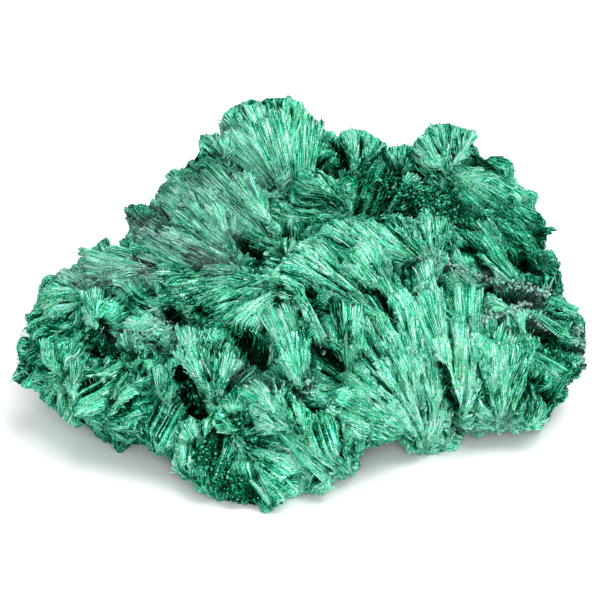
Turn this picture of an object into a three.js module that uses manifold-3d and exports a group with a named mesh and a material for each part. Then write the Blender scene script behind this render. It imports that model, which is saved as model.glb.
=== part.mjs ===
import * as THREE from 'three';
import Module from 'manifold-3d';
import { mergeVertices } from 'three/addons/utils/BufferGeometryUtils.js';

// Velvet malachite, one grown lump of copper carbonate. Its whole surface is sprays of
// fine parallel crystals, which split into flat-sided blades with square broken ends.
// Millimetres, +Z up, +X along the longest side, the front towards -Y. It stands on the
// flat worn patches of its underside at z = 0, with the middle of its box over the origin.

// Driving dimensions. SIZE stretches the whole lump, which is laid out at 85 mm long.
const LENGTH = 85;
const SIZE = LENGTH / 85;
const LOWEST = 1.2;
const GRAIN = 0.02;
const SHORTEST = 0.12;
const LEAST_HEIGHT = 0.02;
const ROUNDS = 6;
const PARTING = 0.05;
const GROUND = 200;
const LUMP_INSET = 2;
const LUMP_ROUGHNESS = 0.8;
const LEAST_LENGTH = 0.8;
const LENGTH_SCATTER = 0.22;
const OUTER_SHORTENING = 0.1;
const EDGE_JITTER = 0.5;
const STEP_HEIGHT = 0.55;
const STEP_DROP = 0.1;
const BLADE_TIPPING = 0.3;
const END_SLANT = 0.1;
const END_UNDERCUT = 0.86;
const ROOT_SHARE = 0.14;
const ROOT_SINK = 1.5;
const ROOT_LIFT = 0.3;
const TIP_LIFT = 1.4;
const BLADE_WIDTH = 3.2;
const THICKNESS = 3;
const THICKENING = 0.12;

// The lump is laid out as it is seen from the front: places are given across and up, in
// mm, on a sloping plane through its middle, and carried along the line of sight to it.
const SIGHT_HEIGHT = 26;
const SIGHT_DISTANCE = 430;
const MIDDLE = new THREE.Vector3(0, 0, 17.4);

// Growth centres: the middle and the three radii of each lump, and how far its own stone
// lies below that surface, where it isn't LUMP_INSET.
const LUMPS = [
  [2, 2, 15, 27, 21, 15],
  [-25, 0, 13, 15, 15, 11.5],
  [-12, 15, 19, 15, 11, 15],
  [-3, 23, 21, 10, 7.5, 16],
  [9, 20.5, 19, 12, 9, 13],
  [24, 18, 16, 15, 12, 15],
  [31, 3, 12, 10.5, 13, 11],
  [20, -10, 10, 14, 10, 10, 3.4],
  [-3, -19, 8, 13, 10.5, 9.5],
  [-21, -11, 8.5, 15, 11, 8.5],
  [-6.5, -22, 3.5, 12, 8, 6.5, 1],
  [38, -2, 6, 6, 7, 6],
  [-21, -4.5, 6, 17, 15, 9.5],
  [-2, -18, 5, 12, 10, 8.5],
  [14, 10, 8, 22, 20, 11.5],
  [24, -7, 6, 13, 10, 7.5, 1],
];
const BOX_MIDDLE = [0, 1.2];
const HEART = new THREE.Vector3(0, 12, 6);
const REACH = new THREE.Vector3(46, 38, 23);

// Sprays on the front: root across and up, tip across and up, half spread in degrees, and
// the lift of the tip where it stands prouder than the others.
const SPRAYS = [
  // The big spray at the right, over the hollow under the front.
  [19.5, -21.5, 3, -16, 17, 2.5],
  [19.5, -21, 7.5, -7.5, 17, 2.5],
  [20, -21, 10.5, 0.5, 13, 2.5],
  [20, -20.5, 15.5, 5.5, 11, 2.5],
  [20.5, -20, 20, 5.5, 8, 2.5],
  [24, -18.5, 22.5, 2.5, 10, 2.5],
  [24.5, -18.5, 26.5, 2, 9, 2.5],
  [30, -19, 31, -4, 21, 2.5],
  [32, -18.5, 36.5, -9.5, 24],
  // The right end and the ledge above it.
  [34.5, 1, 24, 11.5, 16, 2.5],
  [34.5, 0, 41, -3, 18],
  [35, -3, 40, -7, 16],
  [35.5, 6, 39, 2.5, 20],
  [32.5, 11, 37, 9, 20],
  [37, -13, 41.5, -9.5, 28],
  [36, -15, 40, -13, 32],
  // The wall and crest at the right back.
  [22.5, 19.5, 35.5, 12.5, 13],
  [21.5, 21.5, 33, 17, 14],
  [24.5, 14.5, 36, 7.5, 14],
  [22, 19, 20.5, 25, 38],
  // The saddle between the crest and the peak.
  [8.5, 19, 8.5, 24.5, 34],
  [14.5, 19, 14.5, 22.5, 38],
  [7.5, 14, 3, 19.5, 24],
  [12.5, 13.5, 19, 18, 22],
  [20.5, 12, 14, 17.5, 20],
  // The crown, from which sprays run to both sides.
  [19.5, 6, 10.5, 13, 22],
  [20.5, 5.5, 19.5, 13, 24],
  [14, 5.5, 2.5, 12, 18],
  [11, -0.5, -2, 8, 17],
  [7.5, -2, -5.5, 4.5, 13],
  [14.5, -0.5, 7.5, 8, 15],
  [-3, 2.5, -9.5, -4.5, 18],
  [-4.5, 4.5, -21, -0.5, 13],
  [-5.5, 2, -17.5, -4, 15],
  [-7.5, 5.5, -23, 2.5, 9],
  // The peak at the back.
  [-2.5, 16.5, -4, 30, 30, 2.5],
  [-5.5, 22, -9, 29.5, 30],
  [0.5, 18.5, 4, 23.5, 26],
  // The left shoulder and the plates beside it.
  [-9, 6.5, -18.5, 15.5, 24, 2.5],
  [-2, 8.5, -11, 19.5, 12, 2.5],
  [-18, 9.5, -23, 12, 24],
  [-16.5, 14, -21, 18, 26],
  [-10.5, 20, -13, 23.5, 28],
  [-9.5, 5.5, -26.5, 9, 8],
  [-10.5, 4, -30, 6.5, 8],
  [-33.5, 3, -23, 4.5, 11, 2.5],
  [-27.5, 3, -33, 7.5, 28],
  // The left end.
  [-31, 2, -38.5, 1, 20],
  [-32, 0.5, -40.5, -5, 22],
  [-36, -6.5, -42, -10, 26],
  [-34.5, -10.5, -39, -12, 24],
  [-31, -4.5, -30, 1, 24],
  [-35.5, -12.5, -36.5, -5, 17],
  [-33.5, -14, -31.5, -8, 19],
  [-38.5, -11, -39, -6, 20],
  // The broken face below the left shoulder.
  [-26, -7, -19.5, -3, 18],
  [-22, -14, -24.5, -7.5, 20],
  [-28.5, -14, -21, -10, 17],
  [-29.5, -17, -23, -14.5, 18],
  [-21, -22, -21.5, -17, 24],
  [-16.5, -25.5, -15, -20.5, 26],
  [-33.5, -16.5, -31.5, -13.5, 34],
  [-19.5, -15.5, -20.5, -9, 18],
  // The upright sprays of the front.
  [-12.5, -14.5, -14, -4, 27, 2.5],
  [1, -14, -2, -2.5, 18, 2.5],
  [3.5, -8, 0, 0.5, 13, 2.5],
  [7.5, -11, 8, -1.5, 19, 2.5],
  // The front lobe, down to the ground.
  [-1.5, -19.5, -6.5, -12.5, 25],
  [0.5, -21, -1, -15, 28],
  [-14.5, -21, -16, -16, 32],
  [-9, -19.5, -12, -15, 28],
  [-10, -20.5, -2.5, -28.5, 18],
  [5.5, -27, 2, -20.5, 28],
  [8, -25.5, 7, -21, 24],
  [-11.5, -29.5, -13, -23, 28],
  [0, -28.5, 4.5, -25, 24],
  [-5.5, -30, -10, -25, 24],
];

// Sprays round the back: rings of height, number of sprays, and first and last bearing
// in degrees from +X towards +Y.
const BACK_RINGS = [
  [5, 8, 8, 190],
  [12, 7, 14, 184],
  [19, 7, 14, 160],
  [9, 2, -30, -10],
  [17, 2, -22, -2],
  [26, 5, 36, 144],
];
const BACK_SPREAD = 26;
const BACK_LENGTH = 12;
const BACK_LIFT = 0;
const BACK_ROLL = 100;

const wasm = await Module();
wasm.setup();

const scatter = (seed) => {
  const wave = Math.sin(seed * 12.9898 + 4.1) * 43758.5453;
  return wave - Math.floor(wave);
};

const radians = THREE.MathUtils.degToRad;

// Distance from a point to the nearest lump's surface, less than zero inside.
const clearance = (point) => {
  let nearest = Infinity;
  for (const [x, y, z, rx, ry, rz] of LUMPS) {
    const scaled = new THREE.Vector3((point.x - x) / rx, (point.y - y) / ry, (point.z - z) / rz);
    const size = Math.max(scaled.length(), 1e-6);
    const slope = Math.hypot(scaled.x / rx, scaled.y / ry, scaled.z / rz) / size;
    nearest = Math.min(nearest, (size - 1) / slope);
  }
  return nearest;
};

// The first point of a straight line that lies lift mm off the lumps, or its nearest.
const meet = (start, direction, lift) => {
  const reach = 2 * SIGHT_DISTANCE;
  let travelled = 0;
  let nearest = Infinity;
  let best = start.clone();
  while (travelled < reach) {
    const point = start.clone().addScaledVector(direction, travelled);
    const gap = clearance(point) - lift;
    if (gap < nearest) {
      nearest = gap;
      best = point;
    }
    if (gap < 0.03) {
      break;
    }
    travelled += Math.max(0.05, Math.min(gap * 0.6, 20));
  }
  best.z = Math.max(best.z, LOWEST);
  return best;
};

// A place on the sloping plane, carried along the line of sight to the lump.
const sighted = (across, up, lift) => {
  const tilt = radians(SIGHT_HEIGHT);
  const ahead = new THREE.Vector3(0, Math.cos(tilt), -Math.sin(tilt));
  const above = new THREE.Vector3(0, Math.sin(tilt), Math.cos(tilt));
  const eye = MIDDLE.clone().addScaledVector(ahead, -SIGHT_DISTANCE);
  const target = MIDDLE.clone().addScaledVector(above, up);
  target.x += across;
  return meet(eye, target.sub(eye).normalize(), lift);
};

// Outward direction at a point of the specimen as a whole.
const outward = (point) => point.clone().sub(HEART).divide(REACH).divide(REACH).normalize();

const solid = (geometry) => {
  geometry.deleteAttribute('normal');
  geometry.deleteAttribute('uv');
  const merged = mergeVertices(geometry, 1e-5);
  return new wasm.Manifold(new wasm.Mesh({
    numProp: 3,
    tolerance: GRAIN,
    vertProperties: Float32Array.from(merged.getAttribute('position').array),
    triVerts: Uint32Array.from(merged.index.array),
  }));
};

// One lump: a coarse ball stretched to its radii, with rough facets.
const lumpSolid = ([x, y, z, rx, ry, rz, depth = LUMP_INSET], number) => {
  const geometry = new THREE.IcosahedronGeometry(1, 1);
  geometry.deleteAttribute('normal');
  geometry.deleteAttribute('uv');
  const ball = mergeVertices(geometry, 1e-4);
  const places = ball.getAttribute('position');
  const point = new THREE.Vector3();
  for (let i = 0; i < places.count; i += 1) {
    point.fromBufferAttribute(places, i).normalize();
    const inset = depth + LUMP_ROUGHNESS * (scatter(number * 97 + i) - 0.5);
    point.multiply(new THREE.Vector3(rx - inset, ry - inset, rz - inset));
    places.setXYZ(i, point.x + x, point.y + y, point.z + z);
  }
  return solid(ball);
};

// One spray, a fan of flat-topped blades from a common root. Each blade is longer, shorter,
// higher or lower than the next and tips to one side, with an open step between the two.
const spraySolid = (root, tip, halfSpread, number) => {
  const axis = tip.clone().sub(root);
  const reach = axis.length();
  const thickness = THICKNESS + THICKENING * reach;
  const count = Math.max(2, Math.round(2 * radians(halfSpread) * reach / BLADE_WIDTH));
  axis.normalize();
  const out = outward(root.clone().lerp(tip, 0.5));
  out.addScaledVector(axis, -out.dot(axis)).normalize();
  const side = out.clone().cross(axis).normalize();
  const place = (angle, length, height) => root.clone()
    .addScaledVector(axis, Math.cos(angle) * length)
    .addScaledVector(side, Math.sin(angle) * length)
    .addScaledVector(out, height);
  const edges = [];
  for (let i = 0; i <= count; i += 1) {
    const jitter = i > 0 && i < count ? EDGE_JITTER * (scatter(number * 31 + i) - 0.5) : 0;
    edges.push(radians(halfSpread * (2 * (i + jitter) / count - 1)));
  }
  const corners = [root.clone().addScaledVector(out, -thickness).addScaledVector(axis, -ROOT_SINK)];
  const foot = 0;
  const starts = [];
  const feet = [];
  const lengths = [];
  for (let i = 0; i < count; i += 1) {
    const offCentre = Math.abs(2 * (i + 0.5) / count - 1);
    const scattered = LENGTH_SCATTER * scatter(number * 17 + i * 3);
    lengths.push(reach * (LEAST_LENGTH + scattered - OUTER_SHORTENING * offCentre));
  }
  for (let i = 0; i <= count; i += 1) {
    const shorter = Math.min(lengths[Math.max(i - 1, 0)], lengths[Math.min(i, count - 1)]);
    starts.push(corners.push(place(edges[i], reach * ROOT_SHARE, 0)) - 1);
    feet.push(corners.push(place(edges[i], shorter * END_UNDERCUT, -thickness)) - 1);
  }
  const faces = [];
  let last = -1;
  for (let i = 0; i < count; i += 1) {
    const seed = number * 13 + i * 5;
    const height = thickness * (STEP_HEIGHT * scatter(seed + 0.3) - STEP_DROP);
    const tipping = thickness * BLADE_TIPPING * (scatter(seed + 0.6) - 0.5);
    const slant = lengths[i] * END_SLANT * (scatter(seed + 0.9) - 0.5);
    const left = corners.push(place(edges[i], lengths[i] - slant, height - tipping)) - 1;
    const right = corners.push(place(edges[i + 1], lengths[i] + slant, height + tipping)) - 1;
    faces.push(starts[i], left, right, starts[i], right, starts[i + 1]);
    faces.push(left, feet[i], feet[i + 1], left, feet[i + 1], right);
    faces.push(foot, starts[i], starts[i + 1], foot, feet[i + 1], feet[i]);
    if (i === 0) {
      faces.push(foot, feet[0], starts[0], feet[0], left, starts[0]);
    } else {
      faces.push(starts[i], last, left, last, feet[i], left);
    }
    last = right;
  }
  faces.push(foot, starts[count], feet[count], feet[count], starts[count], last);
  const geometry = new THREE.BufferGeometry().setFromPoints(corners);
  geometry.setIndex(faces);
  return solid(geometry);
};

const backSprays = () => {
  const sprays = [];
  let number = 200;
  for (const [height, count, first, last] of BACK_RINGS) {
    for (let i = 0; i < count; i += 1) {
      number += 1;
      const bearing = radians(first + (last - first) * (i + 0.6 * (scatter(number) - 0.5)) / (count - 1));
      const inward = new THREE.Vector3(-Math.cos(bearing), -Math.sin(bearing), 0);
      const start = new THREE.Vector3(0, 8, height).addScaledVector(inward, -90);
      const root = meet(start, inward, ROOT_LIFT);
      const out = outward(root);
      const level = new THREE.Vector3(0, 0, 1).cross(out).normalize();
      const rise = out.clone().cross(level);
      const roll = radians(BACK_ROLL * (scatter(number + 0.5) - 0.5));
      const length = BACK_LENGTH * (0.8 + 0.5 * scatter(number + 0.7));
      const aim = rise.multiplyScalar(Math.cos(roll)).addScaledVector(level, Math.sin(roll));
      const over = root.clone().addScaledVector(aim, length).addScaledVector(out, 12);
      const tip = meet(over, out.clone().negate(), BACK_LIFT);
      sprays.push(spraySolid(root, tip, BACK_SPREAD, number));
    }
  }
  return sprays;
};

const specimenSolid = () => {
  const pieces = LUMPS.map(lumpSolid);
  SPRAYS.forEach((row, number) => {
    const [x0, y0, x1, y1, halfSpread, tipLift = TIP_LIFT] = row;
    const root = sighted(x0, y0, ROOT_LIFT);
    const tip = sighted(x1, y1, tipLift);
    pieces.push(spraySolid(root, tip, halfSpread, number));
  });
  pieces.push(...backSprays());
  const ground = new THREE.BoxGeometry(GROUND, GROUND, GROUND);
  ground.translate(0, 0, -GROUND / 2);
  let whole = pieces[0];
  for (const piece of pieces.slice(1)) {
    whole = whole.add(piece);
  }
  return whole.subtract(solid(ground));
};

// The outermost skin alone: pockets sealed in between sprays are left solid.
const outerSkin = (faces, pointCount) => {
  const parent = Array.from({ length: pointCount }, (_, i) => i);
  const rootOf = (start) => {
    let i = start;
    while (parent[i] !== i) {
      parent[i] = parent[parent[i]];
      i = parent[i];
    }
    return i;
  };
  for (const [a, b, c] of faces) {
    parent[rootOf(a)] = rootOf(b);
    parent[rootOf(b)] = rootOf(c);
  }
  const skins = new Map();
  for (const face of faces) {
    const key = rootOf(face[0]);
    skins.set(key, skins.get(key) ?? []);
    skins.get(key).push(face);
  }
  return [...skins.values()].sort((a, b) => b.length - a.length)[0];
};

const normalOf = (points, [a, b, c]) => {
  const toB = points[b].clone().sub(points[a]);
  return toB.cross(points[c].clone().sub(points[a]));
};

// Slivers where sprays cross are closed up. The ends of a very short edge are drawn
// together, and the long side of a face with no height passes to the face beside it,
// wherever the skin stays one closed sheet. Corners that only touch are drawn apart.
const withoutSlivers = (points, skin) => {
  const faces = skin.map((face) => [...face]);
  const around = points.map(() => new Set());
  faces.forEach((face, f) => face.forEach((v) => around[v].add(f)));
  const neighbours = (v) => new Set([...around[v]].flatMap((f) => faces[f]).filter((w) => w !== v));
  const shared = (v, w) => {
    const beside = neighbours(w);
    return [...neighbours(v)].filter((u) => beside.has(u));
  };
  const drawTogether = (v, w) => {
    const moving = [...around[w]].filter((f) => !faces[f].includes(v));
    const moved = moving.map((f) => faces[f].map((u) => (u === w ? v : u)));
    const turns = moving.some((f, i) => {
      const before = normalOf(points, faces[f]);
      const after = normalOf(points, moved[i]);
      return before.length() > SHORTEST * SHORTEST && before.dot(after) <= 0;
    });
    if (shared(v, w).length !== 2 || turns) {
      return false;
    }
    for (const f of [...around[w]].filter((f) => faces[f].includes(v))) {
      faces[f].forEach((u) => around[u].delete(f));
      faces[f] = null;
    }
    moving.forEach((f, i) => {
      faces[f] = moved[i];
      around[v].add(f);
    });
    around[w].clear();
    return true;
  };
  const passOver = (f) => {
    const face = faces[f];
    const lengths = face.map((v, i) => points[v].distanceTo(points[face[(i + 1) % 3]]));
    const longest = Math.max(...lengths);
    if (normalOf(points, face).length() / longest > LEAST_HEIGHT) {
      return false;
    }
    const i = lengths.indexOf(longest);
    const [v, w, near] = [face[i], face[(i + 1) % 3], face[(i + 2) % 3]];
    const other = [...around[v]].find((g) => g !== f && faces[g].includes(w));
    const far = faces[other].find((u) => u !== v && u !== w);
    if (near === far || neighbours(near).has(far)) {
      return false;
    }
    faces[f] = [v, far, near];
    faces[other] = [far, w, near];
    around[w].delete(f);
    around[far].add(f);
    around[v].delete(other);
    around[near].add(other);
    return true;
  };
  for (let round = 0; round < ROUNDS; round += 1) {
    for (let v = 0; v < points.length; v += 1) {
      const short = [...neighbours(v)].filter((w) => points[v].distanceTo(points[w]) < SHORTEST);
      short.some((w) => drawTogether(v, w));
    }
    faces.forEach((face, f) => face && passOver(f));
  }
  const taken = new Set();
  around.forEach((touching, v) => {
    const key = points[v].toArray().map((value) => value.toFixed(3)).join();
    if (touching.size > 0 && taken.has(key)) {
      const out = new THREE.Vector3();
      touching.forEach((f) => out.add(normalOf(points, faces[f]).normalize()));
      points[v].addScaledVector(out.normalize(), -PARTING);
    }
    taken.add(key);
  });
  return faces.filter((face) => face);
};

const geometryOf = (manifold) => {
  const mesh = manifold.getMesh();
  const points = [];
  for (let i = 0; i < mesh.vertProperties.length; i += 3) {
    points.push(new THREE.Vector3().fromArray(mesh.vertProperties, i));
  }
  const faces = [];
  for (let i = 0; i < mesh.triVerts.length; i += 3) {
    faces.push([...mesh.triVerts.slice(i, i + 3)]);
  }
  const skin = withoutSlivers(points, outerSkin(faces, points.length));
  const geometry = new THREE.BufferGeometry().setFromPoints(skin.flat().map((v) => points[v]));
  geometry.translate(-BOX_MIDDLE[0], -BOX_MIDDLE[1], 0);
  geometry.scale(SIZE, SIZE, SIZE);
  geometry.computeVertexNormals();
  return geometry;
};

const malachite = new THREE.MeshStandardMaterial({
  color: 0x3c9c6c,
  roughness: 0.55,
  metalness: 0,
});

const group = new THREE.Group();
const specimen = new THREE.Mesh(geometryOf(specimenSolid()), malachite);
specimen.name = 'specimen';
group.add(specimen);

export default group;
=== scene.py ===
import math
from types import SimpleNamespace

import bpy
import numpy as np
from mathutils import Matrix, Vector
from mathutils.bvhtree import BVHTree


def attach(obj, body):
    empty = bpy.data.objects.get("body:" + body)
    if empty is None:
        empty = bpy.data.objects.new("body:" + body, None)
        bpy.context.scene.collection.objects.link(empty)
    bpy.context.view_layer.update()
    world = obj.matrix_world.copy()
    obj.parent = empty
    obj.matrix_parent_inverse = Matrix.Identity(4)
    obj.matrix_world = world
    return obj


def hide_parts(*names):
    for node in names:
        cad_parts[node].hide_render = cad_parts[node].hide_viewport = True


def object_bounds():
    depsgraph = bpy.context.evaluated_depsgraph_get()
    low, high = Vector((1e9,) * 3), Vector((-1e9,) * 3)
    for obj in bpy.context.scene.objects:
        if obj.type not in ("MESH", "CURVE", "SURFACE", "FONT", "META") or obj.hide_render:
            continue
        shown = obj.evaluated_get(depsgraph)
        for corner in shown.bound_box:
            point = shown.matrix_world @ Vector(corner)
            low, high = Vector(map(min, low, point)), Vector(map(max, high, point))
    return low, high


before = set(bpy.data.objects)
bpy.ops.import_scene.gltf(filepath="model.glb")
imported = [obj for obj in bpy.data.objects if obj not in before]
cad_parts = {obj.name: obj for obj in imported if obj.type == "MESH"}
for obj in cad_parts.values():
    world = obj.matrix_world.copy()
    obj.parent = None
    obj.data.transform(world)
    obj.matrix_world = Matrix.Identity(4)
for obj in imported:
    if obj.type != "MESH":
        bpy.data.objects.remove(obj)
cad_box = [list(corner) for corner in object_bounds()]

# The body: one mass of malachite that grew outwards from a row of centres as sprays of
# crystals. It is the solid's form with its narrow gaps grown shut, split along the fibres into
# plates that break off in steps, and eaten into at the dark places.
scene = bpy.context.scene
MM = 0.001

# Its lumps: middle and half size of each, in mm. HEART and REACH give the way outwards.
LUMPS = np.array([
    (2, 2, 15, 27, 21, 15), (-25, 0, 13, 15, 15, 11.5), (-12, 15, 19, 15, 11, 15),
    (-3, 23, 21, 10, 7.5, 16), (9, 20.5, 19, 12, 9, 13), (24, 18, 16, 15, 12, 15),
    (31, 3, 12, 10.5, 13, 11), (20, -10, 10, 14, 10, 10), (-3, -19, 8, 13, 10.5, 9.5),
    (-21, -11, 8.5, 15, 11, 8.5), (-6.5, -22, 3.5, 12, 8, 6.5), (38, -2, 6, 6, 7, 6),
    (-21, -4.5, 6, 17, 15, 9.5), (-2, -18, 5, 12, 10, 8.5), (14, 10, 8, 22, 20, 11.5),
    (24, -7, 6, 13, 10, 7.5),
])
BOX_MIDDLE = np.array([0, 1.2, 0])
HEART = np.array([0, 12, 6])
REACH = np.array([46, 38, 23])

# Its sprays, which the solid has too, so every fibre below lies along the blade it is on. The
# front ones are given as seen from the eye: root across and up, tip across and up, half spread
# in degrees, and how far the tip stands off the lumps where that isn't TIP_LIFT.
SIGHT_HEIGHT = math.radians(26)
SIGHT_DISTANCE = 430
MIDDLE = np.array([0, 0, 17.4])
AHEAD = np.array([0, math.cos(SIGHT_HEIGHT), -math.sin(SIGHT_HEIGHT)])
ABOVE = np.array([0, math.sin(SIGHT_HEIGHT), math.cos(SIGHT_HEIGHT)])
EYE = MIDDLE - SIGHT_DISTANCE * AHEAD
LOWEST = 1.2
ROOT_LIFT = 0.3
TIP_LIFT = 1.4
BLADE_WIDTH = 3.2
SHORT_STEP, LONG_STEP = 0.05, 20
TOUCHING = 0.03
SPRAYS = [
    # The big spray at the right, over the hollow under the front.
    (19.5, -21.5, 3, -16, 17, 2.5), (19.5, -21, 7.5, -7.5, 17, 2.5),
    (20, -21, 10.5, 0.5, 13, 2.5), (20, -20.5, 15.5, 5.5, 11, 2.5), (20.5, -20, 20, 5.5, 8, 2.5),
    (24, -18.5, 22.5, 2.5, 10, 2.5), (24.5, -18.5, 26.5, 2, 9, 2.5), (30, -19, 31, -4, 21, 2.5),
    (32, -18.5, 36.5, -9.5, 24),
    # The right end and the ledge above it.
    (34.5, 1, 24, 11.5, 16, 2.5), (34.5, 0, 41, -3, 18), (35, -3, 40, -7, 16),
    (35.5, 6, 39, 2.5, 20), (32.5, 11, 37, 9, 20), (37, -13, 41.5, -9.5, 28),
    (36, -15, 40, -13, 32),
    # The wall and crest at the right back.
    (22.5, 19.5, 35.5, 12.5, 13), (21.5, 21.5, 33, 17, 14), (24.5, 14.5, 36, 7.5, 14),
    (22, 19, 20.5, 25, 38),
    # The saddle between the crest and the peak.
    (8.5, 19, 8.5, 24.5, 34), (14.5, 19, 14.5, 22.5, 38), (7.5, 14, 3, 19.5, 24),
    (12.5, 13.5, 19, 18, 22), (20.5, 12, 14, 17.5, 20),
    # The crown, from which sprays run to both sides.
    (19.5, 6, 10.5, 13, 22), (20.5, 5.5, 19.5, 13, 24), (14, 5.5, 2.5, 12, 18),
    (11, -0.5, -2, 8, 17), (7.5, -2, -5.5, 4.5, 13), (14.5, -0.5, 7.5, 8, 15),
    (-3, 2.5, -9.5, -4.5, 18), (-4.5, 4.5, -21, -0.5, 13), (-5.5, 2, -17.5, -4, 15),
    (-7.5, 5.5, -23, 2.5, 9),
    # The peak at the back.
    (-2.5, 16.5, -4, 30, 30, 2.5), (-5.5, 22, -9, 29.5, 30), (0.5, 18.5, 4, 23.5, 26),
    # The left shoulder and the plates beside it.
    (-9, 6.5, -18.5, 15.5, 24, 2.5), (-2, 8.5, -11, 19.5, 12, 2.5), (-18, 9.5, -23, 12, 24),
    (-16.5, 14, -21, 18, 26), (-10.5, 20, -13, 23.5, 28), (-9.5, 5.5, -26.5, 9, 8),
    (-10.5, 4, -30, 6.5, 8), (-33.5, 3, -23, 4.5, 11, 2.5), (-27.5, 3, -33, 7.5, 28),
    # The left end.
    (-31, 2, -38.5, 1, 20), (-32, 0.5, -40.5, -5, 22), (-36, -6.5, -42, -10, 26),
    (-34.5, -10.5, -39, -12, 24), (-31, -4.5, -30, 1, 24), (-35.5, -12.5, -36.5, -5, 17),
    (-33.5, -14, -31.5, -8, 19), (-38.5, -11, -39, -6, 20),
    # The broken face below the left shoulder.
    (-26, -7, -19.5, -3, 18), (-22, -14, -24.5, -7.5, 20), (-28.5, -14, -21, -10, 17),
    (-29.5, -17, -23, -14.5, 18), (-21, -22, -21.5, -17, 24), (-16.5, -25.5, -15, -20.5, 26),
    (-33.5, -16.5, -31.5, -13.5, 34), (-19.5, -15.5, -20.5, -9, 18),
    # The upright sprays of the front.
    (-12.5, -14.5, -14, -4, 27, 2.5), (1, -14, -2, -2.5, 18, 2.5), (3.5, -8, 0, 0.5, 13, 2.5),
    (7.5, -11, 8, -1.5, 19, 2.5),
    # The front lobe, down to the ground.
    (-1.5, -19.5, -6.5, -12.5, 25), (0.5, -21, -1, -15, 28), (-14.5, -21, -16, -16, 32),
    (-9, -19.5, -12, -15, 28), (-10, -20.5, -2.5, -28.5, 18), (5.5, -27, 2, -20.5, 28),
    (8, -25.5, 7, -21, 24), (-11.5, -29.5, -13, -23, 28), (0, -28.5, 4.5, -25, 24),
    (-5.5, -30, -10, -25, 24),
]
# Rings of sprays round the back: height, count, first and last bearing in degrees.
BACK_RINGS = [
    (5, 8, 8, 190), (12, 7, 14, 184), (19, 7, 14, 160), (9, 2, -30, -10), (17, 2, -22, -2),
    (26, 5, 36, 144),
]
BACK_CENTRE = 8
BACK_DISTANCE = 90
BACK_SPREAD = 26
BACK_LENGTH = 12
BACK_TIP_DISTANCE = 12
BACK_ROLL = 100


def scatter(seed):
    """Numbers from 0 to 1 that look random and are the same for the same seeds."""
    wave = np.sin(np.asarray(seed, float) * 12.9898 + 4.1) * 43758.5453
    return wave - np.floor(wave)


def unit(vectors):
    return vectors / np.linalg.norm(vectors, axis=-1, keepdims=True)


def dot(first, second):
    return np.einsum("ij,ij->i", first, second)


def clearance(point):
    """How far a point is outside the nearest lump."""
    scaled = (point - LUMPS[:, :3]) / LUMPS[:, 3:]
    size = np.maximum(np.linalg.norm(scaled, axis=1), 1e-6)
    slope = np.linalg.norm(scaled / LUMPS[:, 3:], axis=1) / size
    return ((size - 1) / slope).min()


def meet(start, direction, lift):
    """Where a line meets the lumps with a lift added, or else passes them closest."""
    travelled, nearest, best = 0.0, math.inf, start
    while travelled < 2 * SIGHT_DISTANCE:
        point = start + travelled * direction
        gap = clearance(point) - lift
        if gap < nearest:
            nearest, best = gap, point
        if gap < TOUCHING:
            break
        travelled += max(SHORT_STEP, min(gap * 0.6, LONG_STEP))
    return np.array([best[0], best[1], max(best[2], LOWEST)])


def sight_of(across, up):
    """The way from the eye to a place of the view."""
    return unit(MIDDLE + up * ABOVE + np.array([across, 0, 0]) - EYE)


def outward(points):
    return unit((points - HEART) / REACH**2)


class Spray:
    """A fan of blades from one root: its own directions, and each blade's edges and end."""

    def __init__(self, root, tip, half_spread, number):
        axis = tip - root
        self.number = number
        self.root = root
        self.reach = np.linalg.norm(axis)
        self.axis = axis / self.reach
        self.half_spread = math.radians(half_spread)
        self.thickness = 3 + 0.12 * self.reach
        out = outward((root + tip) / 2)
        self.out = unit(out - self.axis * (out @ self.axis))
        self.side = np.cross(self.out, self.axis)
        count = max(2, int(2 * self.half_spread * self.reach / BLADE_WIDTH + 0.5))
        blade = np.arange(count)
        jitter = np.zeros(count + 1)
        jitter[1:-1] = 0.5 * (scatter(number * 31 + np.arange(1, count)) - 0.5)
        self.edges = self.half_spread * (2 * (np.arange(count + 1) + jitter) / count - 1)
        off_centre = np.abs(2 * (blade + 0.5) / count - 1)
        luck = scatter(number * 17 + blade * 3)
        self.lengths = self.reach * (0.8 + 0.22 * luck - 0.1 * off_centre)
        seed = number * 13 + blade * 5
        self.heights = self.thickness * (0.55 * scatter(seed + 0.3) - 0.1)
        self.tippings = self.thickness * 0.3 * (scatter(seed + 0.6) - 0.5)
        self.slants = self.lengths * 0.1 * (scatter(seed + 0.9) - 0.5)

    def place(self, points):
        """Radius and bearing of points, where their blades end, and how far off it they are."""
        local = points - self.root
        ahead, aside, height = local @ self.axis, local @ self.side, local @ self.out
        radius = np.hypot(ahead, aside)
        bearing = np.arctan2(aside, ahead)
        blade = np.clip(np.searchsorted(self.edges, bearing) - 1, 0, len(self.lengths) - 1)
        width = self.edges[blade + 1] - self.edges[blade]
        lean = np.clip(2 * (bearing - self.edges[blade]) / width - 1, -1, 1)
        end = self.lengths[blade] + self.slants[blade] * lean
        start = 0.14 * self.reach
        rise = np.clip((radius - start) / (end - start), 0, 1.1)
        top = rise * (self.heights[blade] + self.tippings[blade] * lean)
        past = np.maximum(radius - end, 0)
        over = np.maximum(np.maximum(height - top, -self.thickness - height), 0)
        beside = np.maximum(np.abs(bearing) - self.half_spread, 0) * np.minimum(radius, 6)
        return radius, bearing, end, np.sqrt(past**2 + over**2 + beside**2)


def front_sprays():
    for number, row in enumerate(SPRAYS):
        lift = row[5] if len(row) > 5 else TIP_LIFT
        root = meet(EYE, sight_of(row[0], row[1]), ROOT_LIFT)
        yield Spray(root, meet(EYE, sight_of(row[2], row[3]), lift), row[4], number)


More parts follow.
